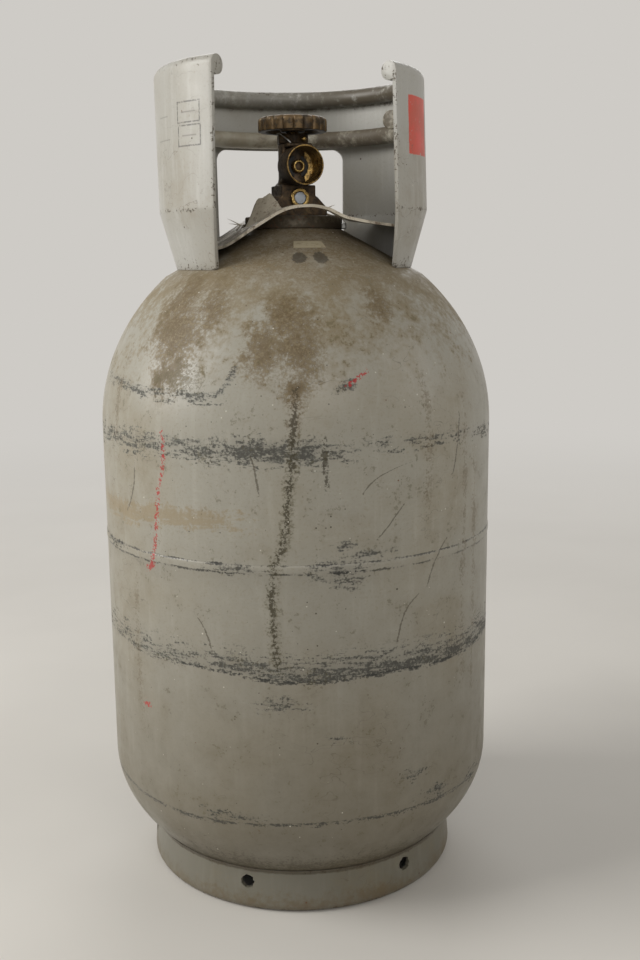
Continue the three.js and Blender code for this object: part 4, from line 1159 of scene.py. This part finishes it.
def guard_wall():
    """The guard's sheet: creased low down, rolled at the top, open in front and pierced behind."""
    seat_gap, step = 0.4, 6
    centre_r, centre_z = GUARD_TOP_R - ROLL_R, GUARD_TOP_Z - ROLL_R
    meet = -math.acos((ROLL_R - SHEET) / ROLL_R)
    roll = arc((centre_r, centre_z), (ROLL_R, ROLL_R), 0, math.tau + meet, 26)
    inner_base = GUARD_BASE_R - SHEET
    base = (GUARD_BASE_R, crown_z(GUARD_BASE_R) + seat_gap)
    foot = (inner_base, crown_z(inner_base) + seat_gap)
    outer_fold = sheet_fold(base, (GUARD_CREASE_R, GUARD_CREASE_Z), roll[0], 1.6)
    inner_fold = sheet_fold(roll[-1], (GUARD_CREASE_R - SHEET, GUARD_CREASE_Z), foot, 1.2)
    section = leg(base, outer_fold[0], step)[:-1] + outer_fold
    section += leg(outer_fold[-1], roll[0], step)[1:-1] + roll
    section += leg(roll[-1], inner_fold[0], step)[1:-1] + inner_fold + leg(inner_fold[-1], foot, step)[1:]
    bm = turned(section, 168, OPENING, 360 - 2 * OPENING)
    for vert in bm.verts:
        r, degrees = polar(vert.co)
        z = vert.co.z / MM
        flare = 1 - min(max((z - CREASE_Z) / (GUARD_CREASE_Z - CREASE_Z), 0), 1)
        low_angle = OPENING_LOW_RIGHT if degrees > 0 else OPENING_LOW_LEFT
        share = (180 - lerp(OPENING, low_angle, flare)) / (180 - OPENING)
        away = (180 - abs(degrees)) * share
        vert.co = polar_point(r, math.copysign(180 - away, degrees), z)
    punch(bm, Vector((0, GUARD_BASE_R * MM, 0)), Vector((-1, 0, 0)), UP, window_outline(), 7 * MM)
    rounded(bm, sharp_edges(bm, 70), 0.5, 2, clamp=True)
    return knocked(bm)


def knocked(bm):
    """Bends the guard above its crease: its left side bulges out and its left front corner is higher."""
    for vert in bm.verts:
        r, degrees = polar(vert.co)
        z = vert.co.z / MM
        share = max(0, (z - GUARD_CREASE_Z) / (GUARD_TOP_Z - GUARD_CREASE_Z))

        def near(angle):
            return max(0, math.cos(math.radians(degrees - angle))) ** 2

        out = BULGE * share * near(BULGE_ANGLE)
        vert.co = polar_point(r + out, degrees, z + LIFT * share * near(LIFT_ANGLE))
    return bm


def guard_rod():
    centre_r = wall_r(ROD_Z) - SHEET - CLEARANCE - ROD_R
    section = arc((centre_r, ROD_Z), (ROD_R, ROD_R), 0, math.tau, 28)[:-1]
    bm = turned(section, 150, ROD_FROM, ROD_TO - ROD_FROM)
    rounded(bm, sharp_edges(bm, 70), 0.8)
    return knocked(bm)


def plate_z(x, y):
    return smooth_table(PLATE_ARCH, x) + PLATE_TILT * (y + PLATE_FRONT_Y)


def plate_z_at(r, degrees):
    a = math.radians(degrees)
    return plate_z(r * math.sin(a), -r * math.cos(a))


def plate_edge_r(degrees):
    """Radius at which the plate ends: near the wall, or at its cut front or back."""
    wall_gap = 0.5
    r = GUARD_BASE_R
    for _ in range(4):
        r = wall_r(plate_z_at(r, degrees) - PLATE) - SHEET - wall_gap
    across = math.cos(math.radians(degrees))
    cut = PLATE_FRONT_Y / across if across > 0 else -PLATE_BACK_Y / across if across < 0 else r
    return min(r, cut)


def torn(degrees, size):
    """A ragged offset that repeats the same way each run."""
    coarse = noise.noise(Vector((degrees * 0.11, 3.7, 1.3)))
    return (coarse + 0.4 * noise.noise(Vector((degrees * 0.5, 8.1, 2.9)))) * size


def sliver_point(degrees, over, rise):
    r = PLATE_HOLE_R + over
    return polar_point(r, degrees, plate_z_at(r, degrees) + rise)


def sliver(start, end, start_r, end_r):
    """A flat torn splinter of the plate between two points, bowed if it tapers."""
    flatness, bow = 0.4, 0.5 * MM
    start, end = sliver_point(*start), sliver_point(*end)
    along = end - start
    bm = bmesh.new()
    bmesh.ops.create_cone(
        bm, cap_ends=True, segments=10, radius1=start_r * MM, radius2=end_r * MM, depth=along.length,
    )
    bmesh.ops.scale(bm, vec=(1.0, flatness, 1.0), verts=bm.verts)
    sides = [e for e in bm.edges if abs((e.verts[0].co - e.verts[1].co).z) > along.length / 2]
    bmesh.ops.subdivide_edges(bm, edges=sides, cuts=3)
    if start_r > end_r:
        for vert in bm.verts:
            vert.co.y += bow * math.sin(vert.co.z / along.length * math.pi)
    return moved(bm, between(start, end))


def guard_floor():
    """The bent plate round the neck, its hole torn and turned up on one side."""
    bm = bmesh.new()
    ring = bmesh.ops.create_circle(bm, segments=288, radius=PLATE_HOLE_R * MM)["verts"]
    fold_r = PLATE_HOLE_R + PLATE_FOLD
    flap_sag = 3

    # A row is 0 at the torn edge, 1 at the fold and 3 at the plate's outside
    def shape(vert, row):
        degrees = polar(vert.co)[1]
        raised = read_table(FLAP_EDGE, degrees) * (1 + torn(degrees, 0.12))
        if row <= 1:
            tip_r = lerp(PLATE_HOLE_R, FLAP_LEAN_R, raised) + torn(degrees, 0.7)
            tip_z = lerp(plate_z_at(PLATE_HOLE_R, degrees), FLAP_TOP_Z, raised)
            r = lerp(tip_r, fold_r, row)
            z = lerp(tip_z, plate_z_at(fold_r, degrees), row) - raised * row * (1 - row) * flap_sag
        else:
            r = lerp(fold_r, plate_edge_r(degrees) - abs(torn(degrees, 0.6)), (row - 1) / 2)
            z = plate_z_at(r, degrees)
        vert.co = polar_point(r, degrees, z)

    edges = bm.edges[:]
    for vert in ring:
        shape(vert, 0.0)
    for row in [0.3, 0.65, 1.0, 1.3, 1.6, 1.9, 2.2, 2.5, 2.8, 3.0]:
        made = bmesh.ops.extrude_edge_only(bm, edges=edges)["geom"]
        verts = {v for v in made if isinstance(v, bmesh.types.BMVert)}
        edges = [e for e in made if isinstance(e, bmesh.types.BMEdge) and set(e.verts) <= verts]
        for vert in verts:
            shape(vert, row)
    bmesh.ops.recalc_face_normals(bm, faces=bm.faces)
    bmesh.ops.solidify(bm, geom=bm.faces[:], thickness=PLATE * MM)
    join(bm, sliver(SLIVER_ROOT, SLIVER_ELBOW, SLIVER_R, SLIVER_R))
    for tip in SLIVER_TIPS:
        join(bm, sliver(SLIVER_ELBOW, tip, SLIVER_R, SLIVER_TIP_R))
    return join(bm, sliver(SPIKE_ROOT, SPIKE_TIP, SLIVER_R, SLIVER_TIP_R))


# Valve

def loose_object(name, bm):
    """A shape as an object for modifiers to work on. The forging removes it again with its mesh."""
    bmesh.ops.recalc_face_normals(bm, faces=bm.faces)
    mesh = bpy.data.meshes.new(name)
    bm.to_mesh(mesh)
    bm.free()
    obj = bpy.data.objects.new(name, mesh)
    bpy.context.scene.collection.objects.link(obj)
    return obj


def forging_base():
    """The round base of the forging, with a flat in front and one behind."""
    low = NECK_TOP_Z + CLEARANCE
    section = [(0, low), (BASE_R, low), (BASE_R, BASE_SHOULDER_Z), (BASE_TOP_R, BASE_TOP_Z), (0, BASE_TOP_Z)]
    bm = turned(section, 64)
    for side in (1, -1):
        cut = bmesh.ops.bisect_plane(
            bm, geom=bm.verts[:] + bm.edges[:] + bm.faces[:], dist=WELD, clear_outer=True,
            plane_co=(0, side * BASE_FLAT * MM, 0), plane_no=(0, side, 0),
        )
        rim = [e for e in cut["geom_cut"] if isinstance(e, bmesh.types.BMEdge)]
        bmesh.ops.edgeloop_fill(bm, edges=rim)
    return bm


def forging_shapes():
    """The forging's solid shapes, put into each other."""
    bm = join(bmesh.new(), forging_base())
    block_size = (BLOCK_WIDTH, 2 * BASE_FLAT, BLOCK_HIGH_Z - BLOCK_LOW_Z)
    join(bm, box(block_size, (0, 0, (BLOCK_LOW_Z + BLOCK_HIGH_Z) / 2)))
    column_foot, foot_low, foot_high = COLUMN_R + 1.5, BLOCK_HIGH_Z - 2, BLOCK_HIGH_Z + 5
    column = [(0, foot_low), (column_foot, foot_low), (COLUMN_R, foot_high), (COLUMN_R, COLUMN_TOP_Z)]
    join(bm, turned(column + [(0, COLUMN_TOP_Z)], 64))
    chest = (CHEST_WIDTH, SOCKET_FLOOR, BLOCK_HIGH_Z + 2, COLUMN_TOP_Z)
    brow = (BROW_WIDTH, BROW_REACH, OUTLET_Z + SOCKET_R + 1, COLUMN_TOP_Z)
    for width, reach, low, high in (chest, brow):
        lump = box((width, reach, high - low), (0, -reach / 2, (low + high) / 2))
        rounded(lump, lump.edges[:], 1.2)
        join(bm, lump)
    front = Matrix.Translation((0, 0, OUTLET_Z * MM)) @ Matrix.Rotation(QUARTER, 4, "X")
    back = Matrix.Translation((0, 0, RELIEF_Z * MM)) @ Matrix.Rotation(-QUARTER, 4, "X")
    neck = [(0, 2), (COLUMN_R, 2), (OUTLET_R, 7), (OUTLET_R, SOCKET_FLOOR), (0, SOCKET_FLOOR)]
    join(bm, moved(turned(neck, 64), front))
    join(bm, moved(turned(band(0, RELIEF_R, 0, RELIEF_REACH - 4), 48), back))
    join(bm, turned(band(0, STEM_R, NECK_LOW_Z + 4, NECK_TOP_Z + 1), 48))
    return moved(bm, VALVE)


def forging():
    """The body of the valve as one forging, its joins run together and its bores drilled."""
    rough = loose_object("rough_forging", forging_shapes())
    remesh = rough.modifiers.new("one_skin", "REMESH")
    remesh.mode = "VOXEL"
    remesh.voxel_size = FORGING_GRAIN * MM
    ease = rough.modifiers.new("ease", "SMOOTH")
    ease.factor = 0.5
    ease.iterations = 5
    bores = [
        (COLUMN_BORE_R, VALVE_SEAT_Z, COLUMN_TOP_Z + 2, Matrix.Identity(4)),
        (RELIEF_BORE_R, RELIEF_SEAT, RELIEF_REACH + 1, inward(RELIEF_Z)),
        (BLEED_SHANK_R + CLEARANCE, BASE_FLAT - BLEED_SHANK - 1, BASE_FLAT + 2, outward(BLEED_Z)),
    ]
    drills = []
    for r, low, high, place in bores:
        drill = loose_object("drill", moved(turned(band(0, r, low, high), 48), place))
        cut = rough.modifiers.new("bore", "BOOLEAN")
        cut.operation = "DIFFERENCE"
        cut.solver = "EXACT"
        cut.object = drill
        drills.append(drill)
    whole = bpy.data.meshes.new_from_object(rough.evaluated_get(bpy.context.evaluated_depsgraph_get()))
    out = bmesh.new()
    out.from_mesh(whole)
    for obj in (rough, *drills):
        bpy.data.meshes.remove(obj.data)
    bpy.data.meshes.remove(whole)
    return out


def outlet_barrel():
    """The outlet's socket: a bright lining with grooves for its thread, a floor and a bright rim."""
    pitch, depth, grooves, thread_start = 1.6, 0.7, 9, 2.2
    floor_hole_r = 3.2
    rim_r, rim_low = OUTLET_R - 0.2, OUTLET_REACH - 1.4
    skin = SOCKET_R + 1.5
    low = SOCKET_FLOOR + CLEARANCE
    under = low - 1
    section = [(skin, rim_low), (rim_r, rim_low), (rim_r, OUTLET_REACH), (SOCKET_R + 1, OUTLET_REACH)]
    for i in range(grooves):
        near = OUTLET_REACH - thread_start - i * pitch
        section += [(SOCKET_R + depth, near), (SOCKET_R, near - pitch / 2)]
    section += [(SOCKET_R, low), (floor_hole_r, low), (floor_hole_r, under), (skin, under)]
    return moved(turned(eased(section, 0.4, 2, 75), 96), outward(OUTLET_Z))


def outlet_sleeve():
    """The tarnished outside of the outlet."""
    section = band(SOCKET_R + 1.3, OUTLET_R, SOCKET_FLOOR - 2.7, OUTLET_REACH - 1.2)
    return moved(turned(eased(section, 0.5), 96), outward(OUTLET_Z))


def outlet_nozzle():
    bore_r, side_r, tip_r = 3, 4.9, 4.1
    low = SOCKET_FLOOR + CLEARANCE
    side_top, tip = low + 4, low + 5
    section = [(bore_r, low), (side_r, low), (side_r, side_top), (tip_r, tip), (bore_r, tip)]
    return moved(turned(eased(section, 0.4), 48), outward(OUTLET_Z))


def outlet_seal():
    low = SOCKET_FLOOR + 0.35
    return moved(turned(eased(band(5.2, 8.5, low, low + 1.3), 0.5), 48), outward(OUTLET_Z))


def gland_pin():
    """A small round-headed pin in the side of the gland."""
    pin_r, head_rise = 2.0, 1.4
    root, neck = BONNET_FLATS / 2 - 2, BONNET_FLATS / 2 + 1.6
    head = arc((0, neck), (pin_r, head_rise), QUARTER, 0, 5)
    section = [*head, (pin_r, root), (0, root)]
    side = Matrix.Translation((PIN_SIDE * MM, 0, 0))
    return moved(turned(section, 32), VALVE @ side @ VALVE.inverted() @ outward(PIN_Z))


def seal_wire():
    """The end of a broken wire, twisted round the gland."""
    bm = bmesh.new()
    for start, end in zip(WIRE_PATH, WIRE_PATH[1:]):
        start, end = Vector(start) * MM, Vector(end) * MM
        bmesh.ops.create_cone(
            bm, cap_ends=True, segments=10, radius1=WIRE_R * MM, radius2=WIRE_R * MM,
            depth=(end - start).length + WIRE_R * MM, matrix=between(start, end),
        )
    return bm


def neck_tab():
    """A small plated clip on the side of the neck."""
    bm = box(TAB_SIZE, (NECK_R, 0, TAB_Z))
    rounded(bm, bm.edges[:], 0.7)
    return moved(bm, Matrix.Rotation(TAB_TURN, 4, "Z"))


def relief_end():
    """The turned end of the relief boss, round its cap."""
    section = band(RELIEF_BORE_R, RELIEF_R, RELIEF_REACH - 6, RELIEF_REACH)
    return moved(turned(eased(section, 0.7), 48), inward(RELIEF_Z))


def relief_cap():
    """The relief valve's cap with a hole for the poppet's tip."""
    hole_r, recess = 2.6, 0.4
    low = RELIEF_REACH - RELIEF_CAP_LENGTH
    section = band(hole_r, RELIEF_BORE_R - CLEARANCE, low, RELIEF_REACH - recess)
    return moved(turned(eased(section, 0.5), 36), inward(RELIEF_Z))


def relief_coil():
    """The relief valve's spring, from the poppet to the cap."""
    low = POPPET_TOP + CLEARANCE + COIL_WIRE_R
    high = RELIEF_REACH - RELIEF_CAP_LENGTH - CLEARANCE - COIL_WIRE_R
    steps = COIL_TURNS * 32
    bm = bmesh.new()
    start = Matrix.Translation((COIL_R * MM, 0, low * MM)) @ Matrix.Rotation(QUARTER, 4, "X")
    bmesh.ops.create_circle(bm, segments=12, radius=COIL_WIRE_R * MM, matrix=start)
    bmesh.ops.spin(
        bm, geom=bm.verts[:] + bm.edges[:], cent=(0, 0, 0), axis=(0, 0, 1),
        dvec=(0, 0, (high - low) * MM / steps), angle=COIL_TURNS * math.tau, steps=steps,
    )
    bmesh.ops.edgeloop_fill(bm, edges=[e for e in bm.edges if e.is_boundary])
    return moved(bm, inward(RELIEF_Z))


def handwheel():
    """A cast wheel with lobes, a rounded top edge, a hollow underside and a dish for its nut."""
    web_low = WHEEL_LOW_Z + WHEEL_UNDERCUT
    brow = arc((WHEEL_R - WHEEL_ROUND, WHEEL_HIGH_Z - WHEEL_ROUND), (WHEEL_ROUND,) * 2, 0, QUARTER, 6)
    section = [
        (WHEEL_BORE_R, WHEEL_LOW_Z), (WHEEL_HUB_R, WHEEL_LOW_Z), (WHEEL_HUB_R + 0.6, web_low),
        (WHEEL_RIM_R - 0.8, web_low), (WHEEL_RIM_R, WHEEL_LOW_Z), (WHEEL_R, WHEEL_LOW_Z), *brow,
        (WHEEL_RIM_R, WHEEL_HIGH_Z), (WHEEL_RIM_R - 1.2, WHEEL_SEAT_Z), (WHEEL_BORE_R, WHEEL_SEAT_Z),
    ]
    bm = turned(eased(section, 1.0), WHEEL_LOBES * 12)
    for vert in bm.verts:
        r, degrees = polar(vert.co)
        if r <= WHEEL_RIM_R:
            continue
        wave = math.sqrt(abs(math.sin(math.radians(WHEEL_LOBES * degrees / 2))))
        depth = WHEEL_GROOVE * (1 - wave) * (r - WHEEL_RIM_R) / (WHEEL_R - WHEEL_RIM_R)
        vert.co = polar_point(r - depth, degrees, vert.co.z / MM)
    return moved(bm, VALVE)


def spindle():
    """The wheel's stem: a tang in the plug, a collar under the gland and a thin end for the nut."""
    tang_r, collar_r, neck_r, end_r = 1.3, 5.7, 4.4, 2.9
    tang, collar, neck = 546, 554, 557
    seat, top = WHEEL_SEAT_Z - CLEARANCE, WHEEL_SEAT_Z + 7.1
    section = [
        (0, tang), (tang_r, tang), (tang_r, collar), (collar_r, collar), (collar_r, neck), (neck_r, neck),
        (neck_r, seat), (end_r, seat), (end_r, top), (0, top),
    ]
    return turned(eased(section, 0.4), 32)


def washer():
    return turned(eased(band(NUT_BORE_R, 7, WHEEL_SEAT_Z + CLEARANCE, WHEEL_SEAT_Z + 1.3), 0.3), 40)


def bleed_ring():
    """A gold-coloured ring with notches cut across its face."""
    notch_depth, notch_degrees, first_notch, overlap = 1.6, 24, 130, 0.2
    low = BASE_FLAT + CLEARANCE
    step = low + BLEED_RING_LENGTH - notch_depth
    high = low + BLEED_RING_LENGTH
    bm = turned(eased(band(BLEED_BORE_R, BLEED_RING_R, low, step), 0.3), 72)
    tooth = eased(band(BLEED_BORE_R, BLEED_RING_R, step - overlap, high), 0.4)
    turn = 360 / BLEED_NOTCHES
    for i in range(BLEED_NOTCHES):
        start = first_notch + notch_degrees / 2 + i * turn
        join(bm, turned(tooth, 24, start, turn - notch_degrees))
    return moved(bm, outward(BLEED_Z))


def bleed_screw():
    """A pale plug with a slightly coned head and a shank."""
    point_r, cone, overlap = 0.6, 0.5, 0.2
    low = BASE_FLAT + 0.4
    high = BASE_FLAT + 0.2 + BLEED_RING_LENGTH
    head = [(0, low), (BLEED_HEAD_R, low), (BLEED_HEAD_R, high - cone), (point_r, high), (0, high)]
    bm = turned(eased(head, 0.4), 40)
    join(bm, turned(band(0, BLEED_SHANK_R, low - BLEED_SHANK, low + overlap), 24))
    return moved(bm, outward(BLEED_Z))


PAINT = vessel_paint()
GUARD = guard_paint()
FOOT_SHADED = foot_paint()
BAR = bar_paint()
# The plate's pale paint is lightened, with a small grime floor, as painted light on the flap.
TORN_LIT = plate_steel("plate_steel", tone(207, 199, 182), tone(185, 176, 158), 0.05)
# The neck ring's dark tones and large grime floor are painted shade under the plate.
NECK_SHADED = plate_steel("neck_steel_shaded", tone(104, 95, 78), tone(76, 67, 52), 0.4)
DARK_BRASS = brass("dark_brass", tone(62, 48, 33), tone(98, 78, 52), 0.85, 0.45, 0.72, 110, 0.5)
WHEEL_BRASS = brass("wheel_brass", tone(72, 57, 37), tone(126, 102, 68), 0.9, 0.36, 0.64, 90, 0.5)
BRIGHT_BRASS = brass("bright_brass", tone(150, 122, 70), tone(206, 176, 112), 0.5, 0.24, 0.5, 160, 0.95)
SOCKET_BRASS = brass("socket_brass", tone(108, 84, 48), tone(190, 158, 96), 0.75, 0.26, 0.52, 150, 0.9)
STEEL = plain_metal("plated_steel", tone(172, 172, 170), tone(126, 122, 114), 0.28, 0.5)
RUBBER = rubber()
PLASTIC = plastic()

piece("vessel_lower", lower_shell(), PAINT, replaces=["lower_shell"])
piece("vessel_upper", upper_shell(), PAINT, replaces=["upper_shell"])
piece("foot_band", foot_ring(), FOOT_SHADED, replaces=["foot_ring"])
piece("neck_bung", neck_ring(), NECK_SHADED, replaces=["neck_ring"])
piece("guard_sheet", guard_wall(), GUARD, replaces=["guard_wall"])
piece("guard_bar", guard_rod(), BAR, replaces=["guard_rod"])
piece("torn_plate", guard_floor(), TORN_LIT, replaces=["guard_floor"])
piece("valve_forging", forging(), DARK_BRASS, replaces=["valve_body"], crisp=60)
piece("outlet_barrel", outlet_barrel(), SOCKET_BRASS)
piece("outlet_sleeve", outlet_sleeve(), DARK_BRASS)
piece("outlet_tube", outlet_nozzle(), BRIGHT_BRASS, replaces=["outlet_nozzle"])
piece("outlet_washer", outlet_seal(), RUBBER, replaces=["outlet_seal"])
bonnet = hexagon(BONNET_FLATS, BONNET_LOW_Z, BONNET_TOP_Z, BONNET_BORE_R, 0.7)
piece("gland_hexagon", bonnet, DARK_BRASS, replaces=["bonnet_nut"])
piece("gland_pin", gland_pin(), BRIGHT_BRASS)
piece("seal_wire", seal_wire(), STEEL)
piece("neck_tab", neck_tab(), STEEL)
piece("relief_rim", relief_end(), DARK_BRASS)
piece("relief_plug", relief_cap(), DARK_BRASS, replaces=["relief_cap"])
piece("wheel", handwheel(), WHEEL_BRASS, "wheel", ["handwheel"])
piece("wheel_stem", spindle(), SOCKET_BRASS, "wheel", ["spindle"])
piece("wheel_washer", washer(), STEEL, "wheel", ["handwheel_washer"])
nut = hexagon(NUT_FLATS, NUT_LOW_Z, NUT_HIGH_Z, NUT_BORE_R, 0.5)
piece("wheel_nut", nut, STEEL, "wheel", ["handwheel_nut"])
piece("bleed_collar", bleed_ring(), BRIGHT_BRASS, replaces=["bleed_ring"])
piece("bleed_plug", bleed_screw(), PLASTIC, "bleed", ["bleed_screw"])

coil = piece("relief_coil", relief_coil(), STEEL, None, ["relief_spring"])
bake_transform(coil)

KEPT = {
    "gland_seal": RUBBER, "seat_disc": RUBBER, "bleed_seal": RUBBER, "lifting_plug": BRIGHT_BRASS,
    "relief_poppet": BRIGHT_BRASS,
}
for node, material in KEPT.items():
    frame["nodes"][node].data.materials.clear()
    frame["nodes"][node].data.materials.append(material)


# Camera, floor and light

BACKDROP = tone(206, 203, 198)
AMBIENT = 0.4


def camera():
    """The photograph's camera, found from the cylinder's own outline."""
    distance, height = 0.898, 0.4775
    yaw, pitch, roll, turn = 0.0200, 0.1911, -0.0105, math.radians(7)
    lens_px, image_height = 1150, 960
    data = bpy.data.cameras.new("camera")
    data.sensor_width = 36
    data.lens = lens_px * data.sensor_width / image_height
    data.clip_start, data.clip_end = 0.01, 50
    ahead = Vector((math.sin(yaw) * math.cos(pitch), math.cos(yaw) * math.cos(pitch), -math.sin(pitch)))
    right = Vector((math.cos(yaw), -math.sin(yaw), 0))
    up = right.cross(ahead)
    leaned_right = right * math.cos(roll) + up * math.sin(roll)
    leaned_up = up * math.cos(roll) - right * math.sin(roll)
    facing = Matrix((leaned_right, leaned_up, -ahead)).transposed().to_4x4()
    obj = bpy.data.objects.new("camera", data)
    place = Matrix.Translation((0, -distance, height)) @ facing
    obj.matrix_world = Matrix.Rotation(-turn, 4, "Z") @ place
    bpy.context.scene.collection.objects.link(obj)
    bpy.context.scene.camera = obj


def floor():
    """A pale floor that fades into the backdrop's tone away from the object."""
    radius, fade_from, fade_to = 30, 0.35, 2.4
    bm = bmesh.new()
    bmesh.ops.create_circle(bm, segments=96, radius=radius, cap_ends=True)
    mesh = bpy.data.meshes.new("floor")
    bm.to_mesh(mesh)
    bm.free()
    f = Finish("floor")
    colour = f.mix(f.ramp(f.noise(3, 3, 0.5), 0.3, 0.7), tone(214, 211, 205), tone(208, 205, 199))
    material = f.finish(colour, 0.7)
    reach = f.node("ShaderNodeVectorMath", {0: f.place}, operation="LENGTH").outputs["Value"]
    glow = f.node("ShaderNodeEmission", {"Color": BACKDROP, "Strength": 1.0}).outputs[0]
    rays = f.node("ShaderNodeLightPath").outputs
    seen = f.either(rays["Is Camera Ray"], rays["Is Glossy Ray"], rays["Is Transmission Ray"])
    share = f.both(f.ramp(reach, fade_from, fade_to), seen)
    mixed = f.node("ShaderNodeMixShader", {0: share, 1: f.shader.outputs[0], 2: glow}).outputs[0]
    f.feed(f.tree.nodes["Material Output"].inputs["Surface"], mixed)
    mesh.materials.append(material)
    obj = bpy.data.objects.new("floor", mesh)
    bpy.context.scene.collection.objects.link(obj)


def lamp(name, place, aim, size, power, colour):
    data = bpy.data.lights.new(name, "AREA")
    data.shape = "RECTANGLE"
    data.size, data.size_y = size
    data.energy = power
    data.color = colour
    obj = bpy.data.objects.new(name, data)
    obj.location = place
    obj.rotation_euler = (Vector(aim) - Vector(place)).to_track_quat("-Z", "Y").to_euler()
    bpy.context.scene.collection.objects.link(obj)


def world():
    """A pale backdrop for the eye and for reflections, and a dimmer even light for the rest."""
    made = bpy.data.worlds.new("world")
    bpy.context.scene.world = made
    made.use_nodes = True
    tree = made.node_tree
    rays = tree.nodes.new("ShaderNodeLightPath")
    shown = rays.outputs["Is Camera Ray"]
    for kind in ("Is Transmission Ray", "Is Glossy Ray"):
        either = tree.nodes.new("ShaderNodeMath")
        either.operation = "MAXIMUM"
        tree.links.new(shown, either.inputs[0])
        tree.links.new(rays.outputs[kind], either.inputs[1])
        shown = either.outputs[0]
    sky = tree.nodes["Background"]
    sky.inputs["Color"].default_value = BACKDROP
    strength = tree.nodes.new("ShaderNodeMapRange")
    strength.inputs["To Min"].default_value = AMBIENT
    strength.inputs["To Max"].default_value = 1.0
    tree.links.new(shown, strength.inputs["Value"])
    tree.links.new(strength.outputs[0], sky.inputs["Strength"])


camera()
floor()
world()
lamp("window", (-2.35, -0.15, 1.5), (0, 0, 0.36), (1.5, 1.5), 60, (1.0, 0.985, 0.96))
lamp("front", (0.2, -2.6, 1.7), (0, 0, 0.3), (1.8, 1.2), 18, (1.0, 0.98, 0.95))
lamp("right", (2.2, -0.9, 1.4), (0, 0, 0.32), (1.4, 1.4), 9, (1.0, 0.97, 0.93))
lamp("back", (0.4, 2.2, 1.6), (0, 0, 0.4), (1.6, 1.2), 14, (1.0, 1.0, 1.0))
bpy.context.scene.view_settings.view_transform = "Standard"
